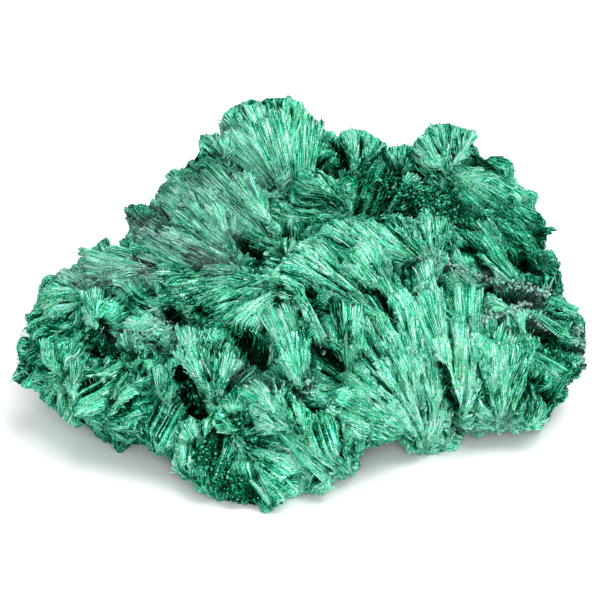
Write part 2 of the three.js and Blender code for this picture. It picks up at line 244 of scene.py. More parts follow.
def back_sprays(number=200):
    for height, count, first, last in BACK_RINGS:
        for i in range(count):
            number += 1
            turn = (i + 0.6 * (scatter(number) - 0.5)) / (count - 1)
            bearing = math.radians(first + (last - first) * turn)
            inward = np.array([-math.cos(bearing), -math.sin(bearing), 0])
            start = np.array([0, BACK_CENTRE, height]) - BACK_DISTANCE * inward
            root = meet(start, inward, ROOT_LIFT)
            out = outward(root)
            level = unit(np.cross([0, 0, 1], out))
            rise = np.cross(out, level)
            roll = math.radians(BACK_ROLL * (scatter(number + 0.5) - 0.5))
            length = BACK_LENGTH * (0.8 + 0.5 * scatter(number + 0.7))
            aim = rise * math.cos(roll) + level * math.sin(roll)
            tip = meet(root + aim * length + out * BACK_TIP_DISTANCE, -out, 0)
            yield Spray(root, tip, BACK_SPREAD, number)


sprays = [*front_sprays(), *back_sprays()]
spray_numbers = np.array([spray.number for spray in sprays])
spray_reaches = np.array([spray.reach for spray in sprays])

# Its leans, for the notches and spurs of the outline: a place across and up, how wide the
# lean is there, and how far the stone goes across and up for it.
LEANS = [
    (-6, 28.5, 7, 0, 1.9), (-15.5, 21.5, 5.5, -1.2, 1.4), (-12.5, 24.5, 4, -1.0, 1.0),
    (-24, 17.5, 7, 2.4, -2.7), (-25, 11.5, 4.5, -1.6, 1.4), (-40, -2, 5, -1.0, 0),
    (-33, 6, 6, 0.7, -0.9), (-41.5, -10, 5, -1.8, -0.8), (-41.5, -7, 3.5, 0.8, 0),
    (-35, -15.5, 6, -0.6, -1.4), (-27, -19.5, 6, 0, -1.9), (-19, -22, 6, -0.8, -2.0),
    (-14, -26, 6, -1.0, -1.6), (-16.5, -26.5, 3.5, 1.0, 0.6), (-5, -29, 7, 0, -2.2),
    (-10, -29.5, 4.5, 0, -1.8), (0, -29.5, 4.5, 0, -1.8), (6, -27, 6, 1.2, -2.2),
    (7.5, -26, 3.5, 1.0, -1.2), (19, -21, 5.5, 0, -2.6), (15.5, -22, 3, 0, 1.2),
    (21.5, -21.5, 4, 0.4, -1.4), (34.5, -16.5, 6, 1.4, -2.0), (38, -17, 3, -0.6, 0.8),
    (41.8, -7.5, 4, 1.3, 0), (40.5, 0.5, 4.5, -1.3, -0.3), (40, -13, 4, -0.9, 0.6),
    (35, 12.5, 4.5, 1.8, 0.5), (36, 11, 3.5, 0.9, 0), (33, 17.5, 4, -0.7, -0.4),
    (19, 25, 6.5, 0, 1.7), (28, 21.5, 6, 1.2, 1.8), (24, 23, 5, 0.8, 1.3),
    (-14.5, -9, 6.5, -1.5, 1.5), (28, 23, 3.5, 0.7, 1.2), (-1.8, 0.9, 2.4, 0, -0.8),
    (-1.8, -1.8, 2.4, 0, 0.8), (-8.5, -30.5, 4, 0, -1.4), (1, -30, 3.5, 0, -1.4),
    (-20, -25.5, 3.5, 1.2, 1.0), (-17, 22.5, 3.5, -0.8, 0.6),
]

# Its places, across and up as the sprays are, each a line with a half width and a strength:
# crumbly ones are grown over with grey crumb, mossy ones with dark crumb, dusty ones streaked
# with grey mauve, dark ones blackish green, pale ones nearly mint. In tangled ones the blades
# lie across each other, and pits are sunken and painted nearly black, painted shade in them.
CRUMBLY_PLACES = [
    (20.5, 5.9, 29.3, 2.2, 0.4, 1), (29.3, 2.5, 36.2, 1, 0.6, 1),
    (26.8, -2.9, 33.7, -0.4, 0.5, 1), (34.2, -2.9, 36.2, -4.4, 0.5, 1),
    (40.6, -4.4, 42.2, -7.8, 0.9, 0.9), (42.2, -7.8, 41.5, -11.7, 0.9, 0.9),
    (3.2, -6, 3.4, -7.5, 0.5, 0.7), (0.5, -11, 1.5, -13.5, 0.7, 0.7),
    (-26, -4.8, -21, -5.4, 0.7, 0.6), (-22, -2.5, -19.5, -3.4, 0.6, 0.7),
]
MOSSY_PLACES = [
    (-14, -22.5, -9.5, -27.5, 1.8, 1), (-12, -27, -7, -29, 1.2, 1),
    (-16.5, -12, -15, -16, 0.8, 0.8), (-31, -5, -28, -7.5, 1.0, 0.8),
    (36, -8, 40.5, -11, 1.6, 0.8), (-8.5, -17.2, -9.5, -18.5, 0.8, 0.8),
    (11.5, 17, 22.5, 12.8, 1.6, 0.85), (-8.6, -19.6, -6.8, -21, 0.8, 0.8),
]
DUSTY_PLACES = [
    (-34, 4.5, -23, 4.5, 2.4, 0.9), (-24, 11, -12, 5.5, 2.2, 0.8), (-19, 14, -9, 17, 3.0, 0.6),
    (-16, 8, -9, 12, 2.4, 0.6), (-12, 24, -5, 18, 2.4, 0.4), (-26, -5, -20, -6, 1.8, 0.35),
    (-10, -10, -4, -13, 1.4, 0.3), (20, 6, 30, 2, 1.0, 0.25), (26, -3, 35, -1, 1.0, 0.25),
    (24, -20, 30, -18, 1.6, 0.5),
]
# Some darken the gaps and pits between blades, painted shade; the others are darker stone.
DARK_PLACES = [
    (12.2, 17.6, 22, 13.5, 2.6, 0.8), (18, 19, 22, 15, 2.2, 0.8),
    (28.3, 20, 36.2, 11.3, 2.6, 0.7), (24, 11, 28, 9, 2.6, 0.5),
    (36.2, 4.8, 39.1, 1.9, 2.0, 0.8), (35.6, -6.3, 41.5, -10.3, 2.8, 0.6),
    (34.2, -11.3, 37.1, -16.1, 2.2, 0.8), (-14, -22, -8, -28, 2.4, 0.6),
    (-25, 5.9, -14.7, 4.4, 1.2, 1), (-23, 7.8, -18.6, 4.8, 1.4, 1), (-20, 8, -11, 5, 2.0, 0.6),
    (5.9, 15.1, 8.4, 10.7, 2.2, 0.5), (-28, 12, -24, 9, 2.6, 0.7), (1, -3, 6, -4, 2.2, 0.6),
    (-42, -4, -38, -8, 3.5, 0.5), (-26, -18, -20, -20, 2.4, 0.4), (-2, 19, 6, 17, 2.2, 0.3),
    (-10, -5, -6, -9, 1.8, 0.8), (-18, -11, -14.5, -17, 1.8, 0.9), (-21, 5, -15, 1, 2.5, 0.6),
    (-12, -9, -9, -13, 1.8, 0.6), (39, -1, 41.5, -5, 2, 0.5), (1, 12, 6, 9, 2.2, 0.4),
    (10, 20, 13, 14, 2.4, 0.9), (-25, 14, -21.5, 9.5, 2.2, 1), (-13.5, -12, -7, -11.5, 1.6, 0.8),
    (-14, 5, -8, 2, 2, 0.5), (23, -1, 28, -5, 2.4, 0.5), (31, 8, 36, 3, 2.4, 0.7),
    (31, 13, 35, 9, 2.4, 0.6), (-23, 7, -14, 3.5, 2.0, 1), (-20, 19, -9, 18, 3.5, 0.35),
    (2, 0, 6, -6, 2.0, 0.6),
]
PALE_PLACES = [
    (-5.6, -0.7, 0.5, -11, 2.4, 0.9), (-17.5, -4.5, -13, -11.5, 2.0, 0.6),
    (8, -9, 24, -8, 7, 0.9), (9, -2, 17, -4, 3.5, 0.7), (11, -13, 20, -18, 4, 1.1),
    (-8, -21, -1, -27, 2.4, 0.6), (1, -24, 6, -27, 3, 2.1), (23.5, 3, 25, -4, 1.8, 0.8),
    (-11, 27, 4, 20.5, 4, 0.4), (-8, -14, -3, -17, 1.6, 0.6), (17, -15, 21, -20, 3, 1.2),
    (22, 20, 29, 16, 3, 0.9), (23, -12, 28, -19, 2.4, 0.7), (-21, -1, -16, -6, 2.2, 1.3),
    (-7, 21, -2, 16, 3, 1.0), (22, 18, 28, 16, 2.2, 0.8), (-19, -20, -15, -23, 2, 0.3),
    (-6, 13, 0, 8, 2.5, 0.8), (8, 10, 14, 8, 2.5, 1.2), (15, 6, 20, 3, 2.5, 1),
    (-6, -2, -2, -6, 2.2, 0.6), (17, -1, 21, -6, 3.2, 1.5), (17, -9, 21, -13, 3, 1.5),
    (16, -16, 21, -20, 3.5, 2.2), (-13, -16, -9, -20, 2, 0.9), (16, 12, 21, 8, 2.4, 0.7),
    (31, -2, 35, -6, 2.2, 0.9), (31, -16, 35, -20, 2.4, 0.8), (24, -15, 27, -18, 2, 1.5),
    (-34, -1, -30, -6, 3, 0.7), (-6, -16, -1, -20, 3, 0.8), (-37, -3, -33, -11, 3.4, 0.8),
]
TANGLED_PLACES = [
    (-37, -8, -22, -13, 4.5, 1), (-25, -4, -19, -9, 2.5, 0.9), (-13, -16, -6, -18, 2, 0.8),
    (-33, -3, -27, -6, 2.6, 0.9), (6, 16, 16, 12, 2.4, 0.7),
]
PITS = [
    (1.8, 1.5, 3.4, -6.3, 0.65, 1), (4.8, 0, 6.9, -9.2, 0.45, 1),
    (-9.8, -4.4, -5.9, -8.8, 0.8, 1), (2.5, -6.9, 5.4, -9.8, 0.8, 1),
    (-17.6, -10.7, -15.7, -12.2, 0.8, 1), (-16.6, -13.2, -14.7, -16.6, 0.9, 1),
    (-10.3, -17.6, -7.8, -16.6, 0.7, 1), (-0.4, -13.6, 2.9, -16.1, 0.7, 1),
    (11.3, 1, 14.2, -3.4, 0.45, 1), (20.7, -9.8, 23.2, -19.1, 0.65, 1),
    (-0.2, -1.4, 2.2, -6.6, 0.35, 1), (27.4, 1.7, 35.2, 0.0, 0.85, 1),
    (24.5, 7.3, 27.4, 4, 0.7, 1), (31.2, 6.3, 35.2, 4.8, 0.7, 1),
    (34.2, -3.5, 37.1, -6.5, 0.8, 1), (14.2, 4.8, 16.6, 1, 0.4, 0.9),
    (-19.5, -1.5, -17.6, -3.4, 0.8, 1), (-15.1, -1.5, -14.2, -2.5, 0.5, 0.9),
    (-31.1, -5.9, -29.3, -7.8, 0.8, 1), (-28.9, -2.9, -27.4, -7.8, 0.5, 1),
    (-2.5, 10.7, 0, 9.2, 0.6, 0.9), (2.9, 20.5, 5.4, 19.1, 0.8, 0.9),
    (5.9, 23.5, 7.3, 17.6, 0.5, 0.9), (-9.8, 9.2, -6.3, 6.9, 0.7, 0.8),
    (-7.3, 22.4, -4, 16.6, 0.4, 0.9), (-24, 6.6, -15, 5, 0.5, 0.9), (35, -12, 37, -15, 0.8, 0.9),
]
# How much pale and dark places change the tone, how much darker the painted shade makes
# hollows and deep hollows, and what is deep.
PALE_TONE = 0.12
DARK_TONE = 0.24
HOLLOW_SHADE = 0.22
DEEP_SHADE = 0.4
DEEP = 0.6


def seen_at(points):
    """Across and up in the view of the points, in mm."""
    ray = points - EYE
    scale = SIGHT_DISTANCE / (ray @ AHEAD)
    return np.stack([ray[:, 0] * scale, (ray @ ABOVE) * scale], axis=1)


def leaning(points):
    """How far the growth leans away from the lumps at each point."""
    leans = np.array(LEANS, float)
    near = 1 - np.linalg.norm(seen_at(points)[:, None] - leans[:, :2], axis=2) / leans[:, 2]
    near = np.clip(near, 0, 1)
    across, up = ((near**2 * (3 - 2 * near)) @ leans[:, 3:]).T
    return across[:, None] * np.array([1, 0, 0]) + up[:, None] * ABOVE


def unleaned(points):
    """Where points of the leaning stone would be if it stood straight on its lumps."""
    straight = points
    for _ in range(3):
        straight = points - leaning(straight)
    return straight


def tiny_noise(points, size):
    """Smooth noise from -1 to 1 over points, from crossed waves."""
    turned = points @ np.array([[0.8, 0.6, 0.1], [-0.5, 0.7, 0.5], [0.3, -0.4, 0.86]]) / size
    waves = np.sin(turned[:, 0] * 6.3 + 2.1 * np.sin(turned[:, 1] * 4.7 + 1))
    waves += np.sin(turned[:, 1] * 6.9 + 2.3 * np.sin(turned[:, 2] * 5.3 + 2))
    waves += np.sin(turned[:, 2] * 5.9 + 1.9 * np.sin(turned[:, 0] * 4.1 + 3))
    return waves / 3


def share_in_places(points, places):
    """How much each point lies in one of the places, from 0 to 1."""
    places = np.array(places, float)
    start, line = places[:, :2], places[:, 2:4] - places[:, :2]
    reach = seen_at(points)[:, None] - start
    along = np.clip((reach * line).sum(axis=2) / (line**2).sum(axis=1), 0, 1)
    gaps = np.linalg.norm(reach - along[..., None] * line, axis=2)
    gaps = gaps + 0.5 * tiny_noise(points, 2.2)[:, None] + 0.25 * tiny_noise(points, 0.8)[:, None]
    share = np.clip(1.5 - gaps / places[:, 4], 0, 1) * places[:, 5]
    return share.max(axis=1)


def places_tone(points):
    """How much paler or darker the places make each point, and how far it is in a pit."""
    pale, dark = share_in_places(points, PALE_PLACES), share_in_places(points, DARK_PLACES)
    return PALE_TONE * pale - DARK_TONE * dark, share_in_places(points, PITS)


def painted_hollow_shade(sunk):
    """Painted shade: how much darker each point is painted for lying below the smooth surface."""
    shallow, deep = np.clip(sunk, -0.25, DEEP), np.clip(sunk - DEEP, 0, 0.7)
    return -HOLLOW_SHADE * shallow - DEEP_SHADE * deep


# Its material: green that runs from nearly black to mint with the tone of each point, streaked
# along the grain where the stone is fibrous, grassy or milky in patches, and dusted with grey.
GREEN_STOPS = [
    (0.0, (0.0001, 0.003, 0.0015)),
    (0.2, (0.0001, 0.025, 0.010)),
    (0.38, (0.0004, 0.118, 0.050)),
    (0.55, (0.014, 0.335, 0.182)),
    (0.72, (0.115, 0.56, 0.38)),
    (0.88, (0.23, 0.66, 0.48)),
    (1.0, (0.34, 0.72, 0.57)),
]
SLATE = (0.29, 0.47, 0.44, 1)
MAUVE = (0.47, 0.66, 0.68, 1)
GRASSY = (0.8, 1.0, 0.74)
VIVID = (0.4, 1.03, 0.95)
MILKY = (1.6, 0.97, 1.1)
CLOUD_SCALE = 230.0
PATCH_SCALE = 330.0
SPECK_SCALE = 4200.0
CLOUD_TONE = 0.45
SPECK_TONE = 0.9
STREAKS_PER_MM = (9.0, 0.42, 1.0)
STREAK_TONE = 2.0
BUNDLES_PER_MM = (2.6, 0.16, 1.0)
BUNDLE_TONE = 0.45
THREAD_TONE = 0.12
CRACK_TONE = 0.09
MEAN_OF_LINES = 0.145
NEEDLE_FOOT_SHADE = 0.12
RELIEF_HEIGHT = 0.12
RELIEF_STRENGTH = 0.8
ROUGHEST = 0.62
GLOSS = 0.03


class Shade:
    """A socket of a material: arithmetic on it adds the Math nodes."""

    def __init__(self, finish, socket):
        self.finish = finish
        self.socket = socket

    def math(self, operation, *values):
        return self.finish.node("ShaderNodeMath", {"operation": operation}, *values)

    def __add__(self, other):
        return self.math("ADD", self, other)

    def __mul__(self, other):
        return self.math("MULTIPLY", self, other)

    def __sub__(self, other):
        return self.math("SUBTRACT", self, other)

    def __rsub__(self, other):
        return self.math("SUBTRACT", other, self)

    def __abs__(self):
        return self.math("ABSOLUTE", self)

    __radd__ = __add__
    __rmul__ = __mul__

    def held(self):
        """The value kept between 0 and 1."""
        return self.finish.node("ShaderNodeClamp", {}, self)


class Finish:
    """A material being made, whose shader is one Principled BSDF."""

    def __init__(self, name):
        self.material = bpy.data.materials.new(name)
        self.material.use_nodes = True
        self.tree = self.material.node_tree
        self.shader = self.tree.nodes["Principled BSDF"]

    def node(self, kind, settings, *values, output=0):
        """A node with its settings, then the values or links of its sockets in order."""
        made = self.tree.nodes.new(kind)
        for name, value in settings.items():
            if name == "stops":
                self.colour_stops(made.color_ramp, value)
            else:
                setattr(made, name, value)
        for socket, value in zip([s for s in made.inputs if s.enabled], values):
            self.feed(socket, value)
        return Shade(self, [s for s in made.outputs if s.enabled][output])

    def colour_stops(self, ramp, stops):
        while len(ramp.elements) < len(stops):
            ramp.elements.new(1)
        for element, (place, colour) in zip(ramp.elements, stops):
            element.position = place
            element.color = (*colour, 1)

    def feed(self, socket, value):
        if isinstance(value, Shade):
            self.tree.links.new(value.socket, socket)
        elif value is not None:
            socket.default_value = value

    def set(self, **values):
        for name, value in values.items():
            self.feed(self.shader.inputs[name.replace("_", " ")], value)

    def attribute(self, name, output=2):
        return self.node("ShaderNodeAttribute", {"attribute_name": name}, output=output)

    def noise(self, place, scale, detail=3.0):
        return self.node("ShaderNodeTexNoise", {}, place, scale, detail)

    def scaled(self, vector, shares):
        return self.node("ShaderNodeVectorMath", {"operation": "MULTIPLY"}, vector, shares)

    def mix(self, share, first, second):
        return self.node("ShaderNodeMix", {"data_type": "RGBA"}, share, first, second)


def malachite_finish(name, streaked):
    finish = Finish(name)
    place = finish.node("ShaderNodeTexCoord", {}, output=3)
    tone = finish.attribute("tone")
    mauve = finish.attribute("mauve")
    cloud = finish.noise(place, CLOUD_SCALE, 4.0)
    speck = finish.noise(place, SPECK_SCALE)
    shade = tone + (cloud - 0.5) * CLOUD_TONE + (speck - 0.5) * SPECK_TONE
    if streaked:
        grain = finish.attribute("grain", output=1)
        streak = finish.noise(finish.scaled(grain, STREAKS_PER_MM), 1.0, 2.0)
        bundle = finish.noise(finish.scaled(grain, BUNDLES_PER_MM), 1.0, 2.0)
        thread = (abs(streak - 0.47) * 16.0).held()
        crack = (abs(bundle - 0.52) * 24.0).held()
        shade = shade + (streak - 0.5) * STREAK_TONE + (bundle - 0.5) * BUNDLE_TONE
        shade = shade + thread * THREAD_TONE + crack * CRACK_TONE - MEAN_OF_LINES
        dust = mauve * (streak * 3.0 + bundle * 2.0 - 2.1)
        relief = streak + speck * 0.5 + thread * 0.3 + crack * 0.6
    else:
        # Painted shade: each needle darker at its foot and lighter towards its free end.
        shade = shade + finish.attribute("share") * NEEDLE_FOOT_SHADE
        dust = mauve * (speck * 1.8 - 0.3)
        relief = bundle = speck
    shade = shade.held()
    green = finish.node("ShaderNodeValToRGB", {"stops": GREEN_STOPS}, shade)
    patch = (finish.noise(place, PATCH_SCALE, 4.0) - 0.47) * 5.0
    green = finish.mix(patch.held() * 0.6, green, finish.scaled(green, GRASSY))
    milkiness = ((bundle + speck - 1.0) * 3.0 + 0.5).held()
    green = finish.mix(milkiness, finish.scaled(green, VIVID), finish.scaled(green, MILKY))
    finish.set(
        Base_Color=finish.mix(dust.held(), green, SLATE if streaked else MAUVE),
        Roughness=ROUGHEST - shade * 0.2,
        Specular_IOR_Level=GLOSS,
        Normal=finish.node("ShaderNodeBump", {}, RELIEF_STRENGTH, RELIEF_HEIGHT * MM, None, relief))
    return finish.material


# Its plates: width across a fan, period of the breaks along it, and height of the steps.
PLATES = ((3.2, 10.0, 1.2), (1.2, 7.0, 0.35))
FAN_REACH = 14
GRAIN_STEP = 7.3
REACH_OF_SPRAYS = 7
BLADE_SWING = 0.3
TANGLE_CELL = 3.4
TANGLE = math.radians(80)
# How its skin is grown shut, opened and worn, in mm.
VOXEL = 0.5
GROWN_SHUT = (0.6, 0.5, 0.4, -0.6, -0.5, -0.4)
CLEFT_WIDTH = 0.26
CLEFT_DEPTH = 1.0
SEAM_DEPTH = 0.9
CRUMB = 0.16
PIT_DEPTH = 2.1
SWELLING = 0.05
SMOOTHING_ROUNDS = 60
BODY_INSET = 0.3
SOLE_HEIGHT = 0.02
SOLE_REACH = 0.4
# Its tones, from 0, nearly black, to 1, mint.
BODY_TONE = 0.56
PLATE_TONE = 0.32
# Painted shade: how much darker seams, pits and clefts are painted.
SEAM_SHADE = 0.2
PIT_SHADE = 0.38
CLEFT_SHADE = 0.4
GREY_TONE = 0.34
MOSS_TONE = 0.2
DARKEST = 0.28


def vectors_of(mesh, field):
    flat = np.empty(len(mesh.vertices) * 3, np.float32)
    mesh.vertices.foreach_get(field, flat)
    return flat.reshape(-1, 3).astype(float)


def points_of(mesh):
    return vectors_of(mesh, "co") / MM + BOX_MIDDLE


def put_points(mesh, points):
    mesh.vertices.foreach_set("co", ((points - BOX_MIDDLE) * MM).astype(np.float32).ravel())
    mesh.update()


def held_inside(points, inset, sole=None):
    """The points kept inside the solid's box, by an inset, or by another one at the sole."""
    below = [inset, inset, inset if sole is None else sole]
    lowest = np.array(cad_box[0]) / MM + BOX_MIDDLE + below
    highest = np.array(cad_box[1]) / MM + BOX_MIDDLE - inset
    return np.clip(points, lowest, highest)


def placed(name, data):
    """A new object of the scene, at the origin."""
    made = bpy.data.objects.new(name, data)
    scene.collection.objects.link(made)
    return made


def applied(piece, name):
    """The piece with its modifiers made real, as a new object."""
    depsgraph = bpy.context.evaluated_depsgraph_get()
    mesh = bpy.data.meshes.new_from_object(piece.evaluated_get(depsgraph))
    mesh.name = name
    bpy.data.objects.remove(piece)
    return placed(name, mesh)


def remeshed(piece, name):
    remesh = piece.modifiers.new("remesh", "REMESH")
    remesh.mode = "VOXEL"
    remesh.voxel_size = VOXEL * MM
    return applied(piece, name)


def grown_shut():
    """The solid's form with its narrow gaps closed, by growing its skin and drawing it back."""
    rough = placed("rough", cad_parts["specimen"].data.copy())
    weld = rough.modifiers.new("weld", "WELD")
    weld.merge_threshold = 0.0001 * MM
    rough = remeshed(rough, "rough")
    for move in GROWN_SHUT:
        mesh = rough.data
        put_points(mesh, points_of(mesh) + vectors_of(mesh, "normal") * move)
        rough = remeshed(rough, "rough")
    return rough


def value_on(mesh, name, values):
    """Keep a number or a vector for every point of a mesh, for its material to read."""
    kind, field = ("FLOAT", "value") if values.ndim == 1 else ("FLOAT_VECTOR", "vector")
    layer = mesh.attributes.new(name, kind, "POINT")
    layer.data.foreach_set(field, np.ascontiguousarray(values, np.float32).ravel())


def tangled(along, points):
    """The grain turned in small patches, where short broken blades lie across each other."""
    wobble = np.stack([tiny_noise(points + 7 * k, 4) for k in range(3)], axis=1)
    cell = np.floor((points + 1.2 * wobble) / TANGLE_CELL) @ np.array([1.7, 9.3, 5.1])
    turn = TANGLE * (2 * scatter(cell) - 1) * (share_in_places(points, TANGLED_PLACES) > 0.35)
    turn = turn[:, None]
    out = outward(points)
    flat = along * np.cos(turn) + np.cross(out, along) * np.sin(turn)
    return flat + out * (along * out).sum(axis=1)[:, None] * (1 - np.cos(turn))


def grain_at(shown):
    """The way the fibres run at each point, and its place in the spray it belongs to."""
    points = unleaned(shown)
    count = len(points)
    nearest = np.full(count, 99.0)
    owner = np.zeros(count, int)
    radius, bearing, end = np.zeros(count), np.zeros(count), np.zeros(count)
    along, pull = np.zeros((count, 3)), np.full(count, 1e-9)
    width = PLATES[0][0]
    for i, spray in enumerate(sprays):
        away = np.linalg.norm(points - spray.root, axis=1)
        near = np.flatnonzero(away < spray.reach + REACH_OF_SPRAYS)
        if len(near) == 0:
            continue
        r, b, e, off = spray.place(points[near])
        weight = np.exp(-((off / 0.9) ** 2)) + 1e-4 / (1 + off) ** 2
        cell = b * min(spray.reach, FAN_REACH) / width + 50 * scatter(spray.number + width)
        swing = BLADE_SWING * (scatter(spray.number * 1.9 + np.floor(cell)) - 0.5)
        angle = (b * min(0.9, 0.37 / spray.half_spread) + swing)[:, None]
        along[near] += weight[:, None] * (np.cos(angle) * spray.axis + np.sin(angle) * spray.side)
        pull[near] += weight
        chosen = off < nearest[near]
        took = near[chosen]
        nearest[took], owner[took] = off[chosen], i
        radius[took], bearing[took], end[took] = r[chosen], b[chosen], e[chosen]
    return SimpleNamespace(
        along=tangled(unit(along + 1e-9), shown), agreed=np.linalg.norm(along, axis=1) / pull,
        radius=radius, bearing=bearing, end=end, off=nearest,
        number=spray_numbers[owner], reach=spray_reaches[owner])


def split(radius, seed, period):
    """The two breaks of a plate between which a radius lies, and the plate's luck."""
    step = np.floor(radius / period)
    breaks = [period * (step + k + 0.7 * scatter(seed + 3.7 * (step + k))) for k in (-1, 0, 1)]
    before = radius < breaks[1]
    low = np.where(before, breaks[0], breaks[1])
    high = np.where(before, breaks[1], breaks[2])
    return low, high, scatter(seed + 1.3 * high)


def plates_at(here):
    """The broken plates at each point: how far they stand up, how pale they are, how far ahead
    they break off, and how deep the point is in a cleft between two of them."""
    count = len(here.radius)
    fan = np.minimum(here.reach, FAN_REACH)
    lift, pale, ahead = np.zeros(count), np.zeros(count), np.full(count, 99.0)
    cleft = np.zeros(count)
    for width, period, height in PLATES:
        place = here.bearing * fan / width + 50 * scatter(here.number + width)
        cell = np.floor(place)
        low, high, luck = split(here.radius, here.number * 5.1 + cell * 2.9, period)
        ripe = np.clip((here.radius - low) / (high - low), 0, 1)
        tilt = scatter(here.number * 2.3 + cell * 1.7 + high * 0.9) - 0.5
        lift += height * (luck * 0.6 + 0.5 * ripe + 0.9 * tilt * (place - cell - 0.5) - 0.55)
        pale += 0.5 * (luck - 0.5)
        ahead = np.minimum(ahead, high - here.radius)
        edge = np.round(place)
        beside = np.abs(place - edge) * width * np.clip(here.radius / fan, 0.3, 1)
        low, high, luck = split(here.radius, here.number * 4.7 + edge * 3.1, period * 0.8)
        ripe = np.clip((here.radius - low) / (high - low), 0.01, 0.99)
        opening = CLEFT_WIDTH * (0.5 + luck) * np.sqrt(np.sin(np.pi * ripe)) * height**0.5
        cleft = np.maximum(cleft, np.clip(1.5 - beside / opening, 0, 1) * (luck > 0.62))
    return lift, pale, ahead, cleft


def hollowness(mesh):
    """How far each point lies below the smooth run of the surface around it."""
    ends = np.empty(len(mesh.edges) * 2, np.int32)
    mesh.edges.foreach_get("vertices", ends)
    first, second = ends.reshape(-1, 2).T
    count = len(mesh.vertices)
    points = points_of(mesh)
    shared = np.bincount(first, minlength=count) + np.bincount(second, minlength=count)
    smooth = points.copy()
    for _ in range(SMOOTHING_ROUNDS):
        total = np.stack([
            np.bincount(first, smooth[second, k], count)
            + np.bincount(second, smooth[first, k], count) for k in range(3)], axis=1)
        smooth = 0.5 * smooth + 0.5 * total / shared[:, None]
    return dot(smooth - points, vectors_of(mesh, "normal"))


def roughen(body):
    """Lean the body, break its skin into plates, and give it its tones and painted shade."""
    mesh = body.data
    body.name = mesh.name = "body"
    points = points_of(mesh)
    put_points(mesh, points + leaning(points))
    points, normals = points_of(mesh), vectors_of(mesh, "normal")
    here = grain_at(points)
    lift, pale, _, cleft = plates_at(here)
    grey = share_in_places(points, CRUMBLY_PLACES)
    moss = share_in_places(points, MOSSY_PLACES)
    stain_and_shade, pitted = places_tone(points)
    ending = np.clip(np.abs(dot(here.along, normals)) * 2 - 0.9, 0, 1)
    seam = np.clip((0.93 - here.agreed) * 5, 0, 1) * np.clip(0.6 + tiny_noise(points, 5), 0, 1)
    move = lift * (1 - ending)
    move = move + CRUMB * tiny_noise(points, 0.9) * (1 + 2 * np.maximum(grey, moss))
    move -= PIT_DEPTH * pitted + SEAM_DEPTH * seam + CLEFT_DEPTH * cleft * (1 - ending) - SWELLING
    points = held_inside(points + normals * move[:, None], BODY_INSET, SOLE_HEIGHT)
    points[points[:, 2] < SOLE_REACH, 2] = SOLE_HEIGHT
    put_points(mesh, points)
    hollow = hollowness(mesh)
    value_on(mesh, "hollow", hollow)
    grain = [here.bearing * here.reach, here.radius, here.number * GRAIN_STEP]
    value_on(mesh, "grain", np.stack(grain, axis=1))
    # Painted shade: darker in hollows, seams, pits and clefts.
    tone = BODY_TONE + PLATE_TONE * pale + stain_and_shade - SEAM_SHADE * seam + painted_hollow_shade(hollow)
    tone = np.maximum(tone, DARKEST) - PIT_SHADE * pitted - CLEFT_SHADE * cleft
    tone = tone - GREY_TONE * np.clip(2 * grey - 0.9, 0, 1)
    value_on(mesh, "tone", tone - MOSS_TONE * np.clip(2 * moss - 0.9, 0, 1))
    value_on(mesh, "mauve", np.maximum(0.3 * grey, share_in_places(points, DUSTY_PLACES)))
    mesh.materials.clear()
    mesh.materials.append(malachite_finish("malachite body", True))


body = grown_shut()
roughen(body)
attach(body, "root")
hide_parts("specimen")

# The splinters: long flat bundles of silky malachite fibres, which each plate has split into.
# They grew in the body and follow its grain side by side, widen outwards as the fans do, and
# end ragged where the plate breaks off.
SPLINTERS_PER_MM2 = 1.04
SPLINTER_WIDTH = (0.24, 1.0)
SPLINTER_LENGTH = (2.5, 6.5)
SHORTEST_SPLINTER = 1.2
SPLINTER_THICKNESS = 0.45
SPLINTER_SINK = 0.12
EDGE_DROP = 0.06
EDGE_SHADE = 0.06
SPLINTER_TONE = 0.575
SPLINTER_PLATE_TONE = 0.34
# Painted shade: how much darker splinters are painted in pits.
SPLINTER_PIT_SHADE = 0.36
SPRAY_TONE = 0.18
STRIDE = 0.7
STRIDES = 9
STRAIGHTNESS = 0.9
RINGS = 7
RUN = np.arange(RINGS) / (RINGS - 1)
SPLINTER_GROUPS = 4
INSET = 0.05
draw = np.random.default_rng(11)


def triangles_of(mesh):
    mesh.calc_loop_triangles()
    corners = np.empty(len(mesh.loop_triangles) * 3, np.int32)
    mesh.loop_triangles.foreach_get("vertices", corners)
    return corners.reshape(-1, 3)


body_points = points_of(body.data)
body_normals = vectors_of(body.data, "normal")
body_hollow = np.empty(len(body_points), np.float32)
body.data.attributes["hollow"].data.foreach_get("value", body_hollow)
body_corners = triangles_of(body.data)
body_ways = body_normals[body_corners].mean(axis=1)
body_skin = BVHTree.FromPolygons(body_points.tolist(), body_corners.tolist())


def body_samples(per_mm2):
    """Points scattered evenly over the body, its outward ways there, and how sunk they are."""
    triangles = body_points[body_corners]
    across = np.cross(triangles[:, 1] - triangles[:, 0], triangles[:, 2] - triangles[:, 0])
    areas = np.linalg.norm(across, axis=1) / 2
    count = int(areas.sum() * per_mm2)
    chosen = draw.choice(len(areas), count, p=areas / areas.sum())
    u, v = np.sqrt(draw.random(count)), draw.random(count)
    weights = np.stack([1 - u, u * (1 - v), u * v], axis=1)
    spots = (triangles[chosen] * weights[:, :, None]).sum(axis=1)
    ways = unit((body_normals[body_corners[chosen]] * weights[:, :, None]).sum(axis=1))
    sunk = (body_hollow[body_corners[chosen]] * weights).sum(axis=1)
    above = (spots[:, 2] > 0.3) | (ways[:, 2] > -0.5)
    return spots[above], ways[above], sunk[above]


def nearest_on_body(points):
    found = [body_skin.find_nearest(point) for point in points.tolist()]
    spots = np.array([tuple(spot) for spot, _, _, _ in found])
    return spots, unit(body_ways[[face for _, _, face, _ in found]])


